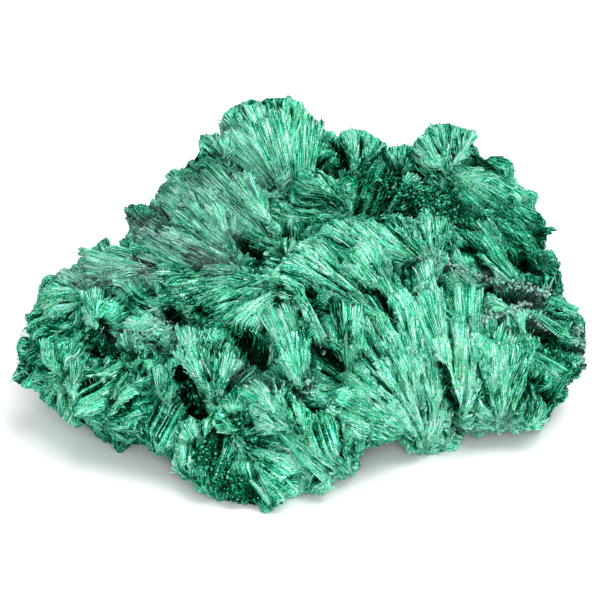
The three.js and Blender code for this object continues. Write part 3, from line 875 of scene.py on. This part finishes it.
def follow_grain(points, normals, towards):
    """Places and outward ways every stride over the body, and how many strides it goes on."""
    places, ways = [points], [normals]
    going, gone = np.ones(len(points), bool), np.zeros(len(points))
    first_way = None
    for _ in range(STRIDES):
        here = grain_at(points)
        facing = dot(here.along, normals)
        flat = unit(here.along - normals * facing[:, None] + 1e-9)
        first_way = flat if first_way is None else first_way
        going &= (flat * first_way).sum(axis=1) > STRAIGHTNESS
        ahead = points + towards * STRIDE * flat
        spots, turned = nearest_on_body(ahead)
        going &= (dot(turned, normals) > 0.55) & (np.linalg.norm(spots - ahead, axis=1) < 0.4)
        going &= (here.agreed > 0.8) & (np.abs(facing) < 0.85)
        points = np.where(going[:, None], spots, points)
        normals = np.where(going[:, None], turned, normals)
        gone += going
        places.append(points)
        ways.append(normals)
    return places, ways, gone


def spray_tone(number):
    """How much paler or darker a whole spray is."""
    return SPRAY_TONE * (scatter(number * 3.3) - 0.5)


def lay_splinters(points, normals, sunk):
    """Corner points, colour values and grain of a splinter at each point of the body."""
    here = grain_at(points)
    _, pale, to_break, cleft = plates_at(here)
    chance = draw.random((len(points), 8))
    room = np.maximum(np.minimum(to_break, here.end - here.radius), 0)
    front = follow_grain(points, normals, 1)
    behind = follow_grain(points, normals, -1)
    line = np.stack(behind[0][:0:-1] + front[0], axis=1)
    ways = np.stack(behind[1][:0:-1] + front[1], axis=1)
    for _ in range(2):
        line[:, 1:-1] = (line[:, :-2] + 2 * line[:, 1:-1] + line[:, 2:]) / 4
        ways[:, 1:-1] = (ways[:, :-2] + 2 * ways[:, 1:-1] + ways[:, 2:]) / 4
    short, long = SPLINTER_LENGTH
    back = np.minimum(short + (long - short) * chance[:, 0], behind[2] * STRIDE)
    ahead = np.minimum(np.minimum(long * chance[:, 1], room + 0.3), front[2] * STRIDE)
    length = back + ahead
    first = STRIDES - back / STRIDE
    last = STRIDES + ahead / STRIDE
    spot = first[:, None] + (last - first)[:, None] * np.arange(RINGS) / (RINGS - 1)
    low = np.clip(spot.astype(int), 0, 2 * STRIDES - 1)
    part = (spot - low)[..., None]
    row = np.arange(len(points))[:, None]
    middle = line[row, low] * (1 - part) + line[row, low + 1] * part
    up = unit(ways[row, low] * (1 - part) + ways[row, low + 1] * part)
    spots = middle.reshape(-1, 3)
    stain_and_shade, pitted = (values.reshape(-1, RINGS) for values in places_tone(spots))
    grey = share_in_places(spots, CRUMBLY_PLACES + MOSSY_PLACES).reshape(-1, RINGS).mean(axis=1)
    kept = length > SHORTEST_SPLINTER
    kept &= chance[:, 7] > np.maximum(0.95 * pitted.max(axis=1), 0.9 * cleft)
    kept &= chance[:, 6] > 0.9 * np.clip(2 * grey - 0.6, 0, 1)
    number, reach, radius, bearing = (
        values[kept] for values in (here.number, here.reach, here.radius, here.bearing))
    middle, up, chance, length, room, ahead, back, pale, sunk, stain_and_shade, pitted = (
        values[kept] for values in (
            middle, up, chance, length, room, ahead, back, pale, sunk, stain_and_shade, pitted))
    slim, wide = SPLINTER_WIDTH
    width = slim + (wide - slim) * chance[:, 2] ** 2
    thin_end = np.clip((radius - back) / np.maximum(radius + ahead, 1), 0.35, 1)
    tip_proud, proud = 0.10 + 0.30 * chance[:, 4] ** 2, 0.02 + 0.12 * chance[:, 4]
    proud = np.where(room < ahead + 0.6, tip_proud, proud)
    tone = SPLINTER_TONE + 0.12 * (chance[:, 5] - 0.5) + SPLINTER_PLATE_TONE * pale
    # Painted shade: darker where the body below is sunk, and darker again in pits.
    tone = (tone + spray_tone(number) + painted_hollow_shade(sunk))[:, None] + stain_and_shade
    tone = np.maximum(tone, DARKEST) - SPLINTER_PIT_SHADE * pitted
    seed = number * GRAIN_STEP + 0.7 * chance[:, 6]
    grain = np.stack([bearing * reach, radius - back, seed], axis=1)
    point = 0.45 + 0.5 * chance[:, 3]
    return shape_splinters(middle, up, width, thin_end, point, proud, length, tone, grain)


def shape_splinters(middle, up, width, thin_end, point, proud, length, tone, grain):
    """Corner points, colour values and grain of splinters along their middle lines. Each ring
    has five corners: left foot, left and right crest, right foot, and the root below."""
    count = len(length)
    way = unit(np.gradient(middle, axis=1))
    side = unit(np.cross(up, way))
    up = np.cross(way, side)
    widths = width[:, None] * (thin_end[:, None] + (1 - thin_end[:, None]) * RUN)
    widths[:, -1] *= point
    heights = -SPLINTER_SINK + (proud + SPLINTER_SINK)[:, None] * RUN**1.3
    share = np.array([0, 0.3, 0.7, 1, 0.5])
    luck = draw.random((count, RINGS, 5))
    crest = np.array([0, 1, 1, 0, 0]) * (0.03 + 0.07 * draw.random((count, 1, 5)))
    edge = np.array([1, 0, 0, 1, 0]) * EDGE_DROP
    base = np.array([0, 0, 0, 0, 1])
    height = heights[..., None] + crest - edge - base * SPLINTER_THICKNESS + 0.02 * (luck - 0.5)
    spread = widths[..., None] * (share - 0.5 + 0.06 * (luck - 0.5))
    ragged = np.zeros((count, RINGS, 5))
    ragged[:, -1] = (length / (RINGS - 1))[:, None] * (0.9 * luck[:, -1] - 0.55)
    corners = middle[:, :, None] + side[:, :, None] * spread[..., None]
    corners = corners + up[:, :, None] * height[..., None]
    corners = corners + way[:, :, None] * ragged[..., None]
    # Painted shade: darker towards the root end and along the two foot edges, lighter at the free
    # end.
    tone = tone[..., None] + 0.08 * (RUN[:, None] - 0.6) - EDGE_SHADE * (edge > 0)
    tone = tone + 0.06 * (luck - 0.5)
    streaks = np.empty(corners.shape)
    streaks[..., 0] = grain[:, 0, None, None] + width[:, None, None] * (share - 0.5)
    streaks[..., 1] = grain[:, 1, None, None] + (length[:, None] * RUN)[..., None]
    streaks[..., 2] = grain[:, 2, None, None]
    return corners, tone, streaks


def splinter_faces(count, ring):
    """Faces of splinters made of rings of points, closed at both ends."""
    k = np.arange(ring)
    n = (k + 1) % ring
    walls = np.stack([k, n, ring + n, ring + k], axis=1)
    walls = (walls[None] + ring * np.arange(RINGS - 1)[:, None, None]).reshape(-1, 4)
    fan = np.arange(1, ring - 1)
    near = np.stack([np.zeros_like(fan), fan + 1, fan], axis=1)
    far = np.stack([np.zeros_like(fan), fan, fan + 1], axis=1) + ring * (RINGS - 1)
    caps = np.concatenate([near, far])
    offsets = (np.arange(count) * RINGS * ring)[:, None, None]
    return (walls[None] + offsets).reshape(-1, 4), (caps[None] + offsets).reshape(-1, 3)


def meshed(name, points, order, starts):
    """A mesh of faces, from their points' numbers in order and where each face starts."""
    mesh = bpy.data.meshes.new(name)
    mesh.vertices.add(len(points))
    mesh.loops.add(len(order))
    mesh.loops.foreach_set("vertex_index", order.astype(np.int32))
    mesh.polygons.add(len(starts))
    mesh.polygons.foreach_set("loop_start", starts.astype(np.int32))
    put_points(mesh, points)
    mesh.update(calc_edges=True)
    return mesh


def map_cells(mesh, count, which, within):
    """A map for baking, with one small square cell for each of the like parts."""
    columns = math.ceil(math.sqrt(count))
    cell = np.stack([which % columns, which // columns], axis=1)
    layer = mesh.uv_layers.new(name="OFBake")
    layer.data.foreach_set("uv", ((cell + within) / columns).astype(np.float32).ravel())


def make_splinters(name, corners, tone, grain, silk):
    count, _, ring, _ = corners.shape
    walls, caps = splinter_faces(count, ring)
    points = held_inside(corners.reshape(-1, 3), INSET)
    order = np.concatenate([walls.ravel(), caps.ravel()])
    cap_starts = len(walls) * 4 + np.arange(len(caps)) * 3
    mesh = meshed(name, points, order, np.concatenate([np.arange(len(walls)) * 4, cap_starts]))
    value_on(mesh, "tone", tone.ravel())
    value_on(mesh, "mauve", share_in_places(points, DUSTY_PLACES))
    value_on(mesh, "grain", grain.reshape(-1, 3))
    within = order % (RINGS * ring)
    round_share, run_share = (within % ring) / ring, (within // ring) / (RINGS - 1)
    within = np.stack([0.1 + 0.8 * round_share, 0.1 + 0.8 * run_share], axis=1)
    map_cells(mesh, count, order // (RINGS * ring), within)
    mesh.materials.append(silk)
    piece = placed(name, mesh)
    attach(piece, "root")
    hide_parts("specimen")


splinter_silk = malachite_finish("malachite splinters", True)
corners, tone, grain = lay_splinters(*body_samples(SPLINTERS_PER_MM2))
order = np.argsort(corners[:, 0, 0, 0] + 0.4 * corners[:, 0, 0, 1], kind="stable")
for group, members in enumerate(np.array_split(order, SPLINTER_GROUPS), 1):
    make_splinters(
        f"splinters_{group}", corners[members], tone[members], grain[members], splinter_silk)

# The blades: straight bundles of malachite strands that stand clear of the rest. Each grew
# from one root in the body, rests on it where it would stand too far out, and has its broken
# end free.

# Root and tip of each across and up, its width at root and tip, and how much paler it is.
BLADES = [
    (-0.9, 2.3, 3.8, -7.4, 1.3, 1.9, 0.04), (7.2, -10.8, 7.9, -0.2, 0.5, 3.2, 0.05),
    # The next blade, much darker, is painted shade: a dark sheet over the slit beside the pale
    # wedge.
    (6.9, -10.6, 4.8, 0.6, 0.4, 2.0, -0.28), (1.4, -12.6, -4.2, -0.7, 1.5, 4.8, 0.1),
    (33.3, 1.2, 25.5, 11.2, 1.0, 2.0, 0.04), (31.4, 5.2, 26.6, 12.2, 1.0, 2.2, -0.06),
    (34.9, 0.4, 40.4, -2.8, 1.6, 3.4, 0), (34.3, -1.8, 40, -6, 1.0, 1.8, -0.08),
    (33.7, -7.6, 38.6, -11.6, 1.0, 3.0, 0.02), (-22.5, 4.0, -32.9, 5.7, 2.2, 4.2, 0.02),
    (-16.1, 4.4, -25.4, 8.6, 1.2, 3.6, -0.14), (-14.1, -14.2, -14.4, -3.3, 1.2, 8.2, 0.08),
    (-1, -17.6, -8.3, -12.3, 1.0, 3.6, 0.06), (-10.6, -20.3, -2.2, -29.4, 2.2, 4.6, 0.1),
    (-2.2, 17.7, -5.6, 27.7, 3.2, 6.6, 0.03), (-3.6, 17, -10.8, 24.4, 2.0, 5.0, 0),
    (0.6, 17.7, 1.2, 27.4, 2.6, 5.4, 0.03), (-30.1, -2.8, -30.5, 2, 0.9, 4.0, 0.02),
    (-19, -4.6, -25.9, -3.2, 1.4, 2.4, 0), (-27.1, -20.3, -24.9, -13.2, 0.8, 3.2, 0.06),
    (24.9, -6.5, 24.6, 2.7, 2.6, 4.6, 0.1), (20.5, -7.5, 17.2, 1.4, 1.8, 3.8, 0.1),
    (19.9, 0, 18.2, 6, 1.0, 2.0, 0.06), (-10, 7, -20, 17, 2.4, 6.6, -0.04),
    (-5, 9.6, -15.6, 19.6, 2.6, 5.6, -0.04), (26.5, -18.6, 31.4, -4.2, 1.5, 5.2, 0.06),
    (24.4, -18, 24.5, -6, 1.4, 3.0, 0.08), (-20.3, -14.6, -19.9, -9.2, 0.6, 3.6, -0.08),
    (-33.2, -12.8, -32.6, -8.4, 0.6, 2.4, 0.05), (-3, -19, 5.5, -25.5, 1.4, 4.6, 0.02),
    (21.5, 19.5, 28.5, 14.5, 2.5, 5, -0.02), (27, 15.5, 34.5, 10, 3, 5.5, -0.12),
    (17.5, -19.3, 8, -15, 1.6, 4.2, 0), (16.8, -17, 10, -8.5, 1.8, 4.6, 0.03),
    (18.2, -15, 14.2, -4.5, 1.6, 4.4, 0.05),
]
STRAND_WIDTH = 0.42
STEP_WIDTH = 1.1
BLADE_PROUD = 0.25
BLADE_RISE = 0.3
BLADE_SAG = 0.5
BLADE_CLEAR = 1.7
BLADE_TONE = 0.60


def skin_depth(across, up):
    """How far from the eye the body's skin is, on the line of sight of a place."""
    sight = sight_of(across, up)
    distance = body_skin.ray_cast(EYE.tolist(), sight.tolist())[3]
    return math.nan if distance is None else distance, sight


def lay_blade(number, u0, v0, u1, v1, root_width, tip_width, paler):
    """Corner points, colour values and grain of the strands of one blade."""
    seen = [skin_depth(u0 + (u1 - u0) * part, v0 + (v1 - v0) * part) for part in RUN]
    depth = np.array([distance for distance, _ in seen])
    found = ~np.isnan(depth)
    depth = np.interp(RUN, RUN[found], depth[found])
    size = math.hypot(u1 - u0, v1 - v0)
    rooted = depth[0] + 0.3
    slope = max(((depth[2:] - BLADE_PROUD - rooted) / RUN[2:]).min(), -BLADE_RISE * size)
    sag = depth - BLADE_PROUD - rooted - (slope + BLADE_CLEAR) * RUN
    sag = np.clip(sag, 0, BLADE_SAG * size * RUN)
    for _ in range(2):
        sag[1:] = (sag[:-1] + 2 * sag[1:] + np.append(sag[2:], 2 * sag[-1] - sag[-2])) / 4
    root = EYE + seen[0][1] * rooted
    tip = EYE + seen[-1][1] * (rooted + slope)
    along, sight = unit(tip - root), unit(tip - EYE)
    side = unit(np.cross(sight, along))
    strands = 2 * math.ceil(tip_width / STRAND_WIDTH)
    chance = draw.random((strands, 5))
    across = (np.arange(strands) + 0.3 + 0.4 * chance[:, 0]) / strands - 0.5
    step = scatter(number * 7.7 + np.floor(across * tip_width / STEP_WIDTH))
    share = (0.82 + 0.12 * step + 0.06 * chance[:, 1])[:, None] * RUN
    start = (0.25 * chance[:, 2] * (chance[:, 3] > 0.5))[:, None]
    share = start + (1 - start) * share
    spread = across[:, None] * (root_width + (tip_width - root_width) * share)
    middle = root + share[..., None] * (tip - root) + spread[..., None] * side
    fall = np.stack([np.interp(own, RUN, sag) for own in share])
    middle = middle + (0.3 * (chance[:, 4] - 0.3)[:, None] + fall)[..., None] * sight
    up = np.broadcast_to(-sight, middle.shape) + (0.8 * (chance[:, 0] - 0.5))[:, None, None] * side
    length = (share[:, -1] - share[:, 0]) * np.linalg.norm(tip - root)
    width = 2.4 * tip_width / strands * (0.7 + 0.6 * chance[:, 1])
    thin_end = np.full(strands, max(root_width / tip_width, 0.25))
    tone = BLADE_TONE + paler + 0.14 * (chance[:, 3] - 0.5) + 0.12 * (step - 0.5)
    tone = np.repeat((tone - 0.1 * (chance[:, 4] > 0.75))[:, None], RINGS, axis=1)
    seed = 900 + 5.3 * number + 0.5 * chance[:, 2]
    grain = np.stack([across * tip_width, share[:, 0] * size, seed], axis=1)
    point = 0.6 + 0.4 * chance[:, 2]
    return shape_splinters(
        middle, unit(up), width, thin_end, point, np.zeros(strands), length, tone, grain)


blades = [lay_blade(number, *row) for number, row in enumerate(BLADES)]
make_splinters("blades", *(np.concatenate(values) for values in zip(*blades)), splinter_silk)

# The fibres: silky malachite crystals a seventh of a millimetre thick and a few long, side by
# side along every plate, each rooted in the body with its free end standing a little proud.
FIBRES_PER_MM2 = 1.6
FIBRE_WIDTH = (0.09, 0.22)
FIBRE_LENGTH = (1.0, 3.0)
SHORTEST_FIBRE = 0.35
FIBRE_INSET = 0.16
FIBRE_SIDES = 3
FOOT_SHARE = 0.0
FIBRE_TONE = 0.58
DARK_FIBRES = 0.12
DARK_FIBRE_TONE = 0.30
DARKEST_FIBRE = 0.25


def lay_fibres(points, normals, sunk):
    """Foot, direction, length, width and colour values of a fibre at each point."""
    count = len(points)
    here = grain_at(points)
    _, pale, to_break, cleft = plates_at(here)
    chance = draw.random((count, 8))
    facing = dot(here.along, normals)
    flat = unit(here.along - normals * facing[:, None] + 1e-9)
    stray = (0.03 + 0.04 * (here.off > 0.8))[:, None] * draw.normal(size=(count, 3))
    short, long = FIBRE_LENGTH
    length = short + (long - short) * chance[:, 1] ** 1.5
    rising = 0.01 + 0.07 * chance[:, 2]
    ending = facing > 0.7
    way = np.where(ending[:, None], here.along, flat + normals * rising[:, None]) + stray
    way = unit(way)
    room = np.maximum(np.minimum(to_break, here.end - here.radius), 0)
    ahead = np.minimum(length * 0.45, room + 0.4)
    ahead = np.where(ending, 0.1 + 0.2 * chance[:, 0] ** 2, ahead)
    back = np.where(ending, 0.8, length * 0.55)
    foot = held_inside(points - way * back[:, None] - normals * 0.02, FIBRE_INSET)
    head = held_inside(points + way * ahead[:, None], FIBRE_INSET)
    length = np.linalg.norm(head - foot, axis=1)
    grey = share_in_places(points, CRUMBLY_PLACES + MOSSY_PLACES)
    stain_and_shade, pitted = places_tone(points)
    bare = np.maximum(np.clip(2 * grey - 0.5, 0, 1), 0.7 * ending)
    bare = np.maximum(bare, 0.95 * np.maximum(pitted, cleft))
    kept = (length > SHORTEST_FIBRE) & (chance[:, 3] > bare)
    thin, thick = FIBRE_WIDTH
    tone = FIBRE_TONE + spray_tone(here.number) + SPLINTER_PLATE_TONE * pale
    tone = tone + 0.24 * (chance[:, 5] - 0.5) + stain_and_shade
    tone = np.where(chance[:, 6] < DARK_FIBRES, tone - DARK_FIBRE_TONE, tone)
    # Painted shade: darker where the body below is sunk.
    tone = np.maximum(tone + 0.04 * ending + painted_hollow_shade(sunk), DARKEST_FIBRE)
    mauve = share_in_places(points, DUSTY_PLACES) * (chance[:, 7] < 0.6)
    values = {
        "foot": foot, "along": unit(head - foot), "out": normals, "length": length * MM,
        "width": (thin + (thick - thin) * chance[:, 4] ** 2) * MM,
        "tone": tone, "mauve": np.clip(mauve, 0, 1),
    }
    return {name: value[kept] for name, value in values.items()}


def fibre_tree(silk):
    """Geometry Nodes: a needle on every point, laid along it. The tree's inputs by name too."""
    tree = bpy.data.node_groups.new("grow fibres", "GeometryNodeTree")
    inputs = {}
    for name, kind in (("Feet", "Geometry"), ("Sides", "Int"), ("Foot share", "Float")):
        socket = tree.interface.new_socket(
            name, in_out="INPUT", socket_type="NodeSocket" + kind)
        inputs[name] = socket.identifier
    tree.interface.new_socket("Fibres", in_out="OUTPUT", socket_type="NodeSocketGeometry")

    def add(kind, settings={}, sockets={}, output=0):
        """A node with its settings, then the values or links of its named sockets."""
        made = tree.nodes.new(kind)
        for name, value in settings.items():
            setattr(made, name, value)
        for name, value in sockets.items():
            if isinstance(value, bpy.types.NodeSocket):
                tree.links.new(value, made.inputs[name])
            else:
                made.inputs[name].default_value = value
        return made.outputs[output] if made.outputs else made

    def read(name, kind):
        return add("GeometryNodeInputNamedAttribute", {"data_type": kind}, {"Name": name})

    sides, foot_share = (add("NodeGroupInput", output=name) for name in ("Sides", "Foot share"))
    needle = add("GeometryNodeMeshCone", {"fill_type": "NGON"}, {
        "Vertices": sides, "Radius Bottom": foot_share, "Radius Top": 0.5, "Depth": 1})
    place = add("GeometryNodeInputPosition")
    marked = add("GeometryNodeStoreNamedAttribute", {"data_type": "FLOAT"}, {
        "Name": "share", "Geometry": needle,
        "Value": add("ShaderNodeSeparateXYZ", {}, {"Vector": place}, output="Z")})
    aim = add("FunctionNodeAlignRotationToVector", {"axis": "Z"}, {
        "Vector": read("along", "FLOAT_VECTOR")})
    aim = add("FunctionNodeAlignRotationToVector", {"axis": "X", "pivot_axis": "Z"}, {
        "Rotation": aim, "Vector": read("out", "FLOAT_VECTOR")})
    width = read("width", "FLOAT")
    size = add("ShaderNodeCombineXYZ", {}, {"X": width, "Y": width, "Z": read("length", "FLOAT")})
    grown = add("GeometryNodeInstanceOnPoints", {}, {
        "Points": add("NodeGroupInput", output="Feet"), "Instance": marked,
        "Rotation": aim, "Scale": size})
    real = add("GeometryNodeRealizeInstances", {}, {"Geometry": grown})
    dressed = add("GeometryNodeSetMaterial", {}, {"Geometry": real, "Material": silk})
    add("NodeGroupOutput", {}, {"Fibres": dressed})
    return tree, inputs


def unroll(mesh, needles):
    """The baking map of the fibres, each one's length up its cell."""
    corner = np.empty(len(mesh.loops), np.int32)
    mesh.loops.foreach_get("vertex_index", corner)
    share = np.empty(len(mesh.vertices), np.float32)
    mesh.attributes["share"].data.foreach_get("value", share)
    around = len(mesh.vertices) // needles
    round_share = (corner % around) / around
    within = np.stack([0.15 + 0.7 * round_share, 0.15 + 0.7 * share[corner]], axis=1)
    map_cells(mesh, needles, np.arange(len(mesh.loops)) // (len(mesh.loops) // needles), within)


def make_fibres(name, fibres):
    tree, inputs = fibre_tree(malachite_finish("malachite fibres", False))
    count = len(fibres["tone"])
    mesh = bpy.data.meshes.new("feet")
    mesh.vertices.add(count)
    put_points(mesh, fibres.pop("foot"))
    for value_name, values in fibres.items():
        value_on(mesh, value_name, values)
    feet = placed("feet", mesh)
    grow = feet.modifiers.new("grow", "NODES")
    grow.node_group = tree
    grow[inputs["Sides"]] = FIBRE_SIDES
    grow[inputs["Foot share"]] = FOOT_SHARE
    piece = applied(feet, name)
    unroll(piece.data, count)
    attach(piece, "root")
    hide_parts("specimen")


fibres = lay_fibres(*body_samples(FIBRES_PER_MM2))
order = np.argsort(fibres["foot"][:, 0] + 0.4 * fibres["foot"][:, 1], kind="stable")
make_fibres("fibres_1", {name: values[order] for name, values in fibres.items()})

# The crumbs: loose-looking grains of grey mauve and blackish green mineral, grown in the pits
# and along the dusty edges, each sunk by half into the stone.
CRUMBS = 5500
CRUMB_SIZE = (0.10, 0.30)
CRUMB_CORNERS = 12
SITES_PER_MM2 = 16.0


def crumb_form():
    """The corners of a grain of twenty faces around its middle, and those faces."""
    gold = (1 + math.sqrt(5)) / 2
    knob = unit(np.array([(a, b * gold, 0) for a in (-1, 1) for b in (-1, 1)], float))
    knob = np.concatenate([knob, knob[:, [2, 0, 1]], knob[:, [1, 2, 0]]])
    near = np.linalg.norm(knob[:, None] - knob[None], axis=2) < 1.2
    corners = range(CRUMB_CORNERS)
    threes = [(i, j, k) for i in corners for j in corners[i + 1:] for k in corners[j + 1:]]
    faces = []
    for i, j, k in threes:
        if near[i, j] and near[j, k] and near[i, k]:
            out = np.dot(np.cross(knob[j] - knob[i], knob[k] - knob[i]), knob[i]) > 0
            faces.append((i, j, k) if out else (k, j, i))
    return knob, np.array(faces)


def make_crumbs():
    points, normals, _ = body_samples(SITES_PER_MM2)
    grey, moss = share_in_places(points, CRUMBLY_PLACES), share_in_places(points, MOSSY_PLACES)
    patchy = np.clip(0.75 + 0.6 * tiny_noise(points, 1.6), 0.15, 1)
    wanted = np.clip(grey * 4 - 2.2, 0, 1) + 0.9 * np.clip(moss * 4 - 1.8, 0, 1)
    wanted = wanted * patchy + 0.015 * share_in_places(points, PITS)
    wanted *= np.where(normals @ AHEAD < 0.2, 1, 0.1)
    chosen = draw.choice(len(points), CRUMBS, replace=False, p=wanted / wanted.sum())
    points, normals, grey, moss = points[chosen], normals[chosen], grey[chosen], moss[chosen]
    knob, faces = crumb_form()
    small, large = CRUMB_SIZE
    size = small + (large - small) * draw.random(CRUMBS) ** 2
    lumpy = 0.7 + 0.6 * draw.random((CRUMBS, CRUMB_CORNERS, 1))
    corners = points[:, None] + normals[:, None] * 0.1 + knob[None] * size[:, None, None] * lumpy
    corners = held_inside(corners.reshape(-1, 3), INSET)
    order = (faces[None] + CRUMB_CORNERS * np.arange(CRUMBS)[:, None, None]).reshape(-1)
    mesh = meshed("crumbs", corners, order, np.arange(0, len(order), 3))
    dusty = (draw.random(CRUMBS) < np.maximum(1.3 * grey - 0.3, 0.02)).astype(float)
    tone = 0.06 + 0.5 * draw.random(CRUMBS) ** 2
    tone = tone + (0.28 * draw.random(CRUMBS) ** 3 + 0.04) * (moss > grey)
    value_on(mesh, "tone", np.repeat(tone + 0.1 * dusty, CRUMB_CORNERS))
    mauve = dusty * (0.5 + 0.5 * draw.random(CRUMBS))
    value_on(mesh, "mauve", np.repeat(mauve, CRUMB_CORNERS))
    mesh.materials.append(malachite_finish("malachite crumbs", False))
    piece = placed("crumbs", mesh)
    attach(piece, "root")
    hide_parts("specimen")


make_crumbs()

# The floor: a plain pale matt board that the flat patches of the specimen rest on. It is no
# part of the specimen.
FLOOR_SIZE = 6.0
half = FLOOR_SIZE / 2
floor_mesh = bpy.data.meshes.new("floor")
floor_corners = [(-half, -half, 0), (half, -half, 0), (half, half, 0), (-half, half, 0)]
floor_mesh.from_pydata(floor_corners, [], [(0, 1, 2, 3)])
pale_floor = Finish("pale floor")
pale_floor.set(Base_Color=(0.88, 0.88, 0.885, 1), Roughness=0.7)
floor_mesh.materials.append(pale_floor.material)
placed("floor", floor_mesh)

# Light and camera: a large soft light above and a little in front, a weaker one low in front,
# and a pale room. The camera looks down at the specimen from the front.
LENS = 175.96
ROOM_COLOUR = (0.9, 0.93, 0.95, 1)
ROOM_STRENGTH = 0.72


def make_light(name, place, target, size, power):
    data = bpy.data.lights.new(name, "AREA")
    data.shape = "DISK"
    data.size = size
    data.energy = power
    light = placed(name, data)
    light.location = place
    light.rotation_euler = (Vector(target) - Vector(place)).to_track_quat("-Z", "Y").to_euler()


make_light("soft_top", (0.25, -0.05, 0.72), target=(0, 0, 0.01), size=0.8, power=6.6)
make_light("soft_front", (0.05, -0.75, 0.35), target=(0, 0, 0.015), size=0.5, power=5.1)
room = bpy.data.worlds.new("room")
room.use_nodes = True
room.node_tree.nodes["Background"].inputs["Color"].default_value = ROOM_COLOUR
room.node_tree.nodes["Background"].inputs["Strength"].default_value = ROOM_STRENGTH
scene.world = room

camera_data = bpy.data.cameras.new("camera")
camera_data.lens = LENS
camera_data.sensor_width = 36
camera_data.clip_start = 0.01
camera = placed("camera", camera_data)
camera.location = Vector((EYE - BOX_MIDDLE) * MM)
camera.rotation_euler = (math.pi / 2 - SIGHT_HEIGHT, 0, 0)
scene.camera = camera
scene.view_settings.view_transform = "Standard"
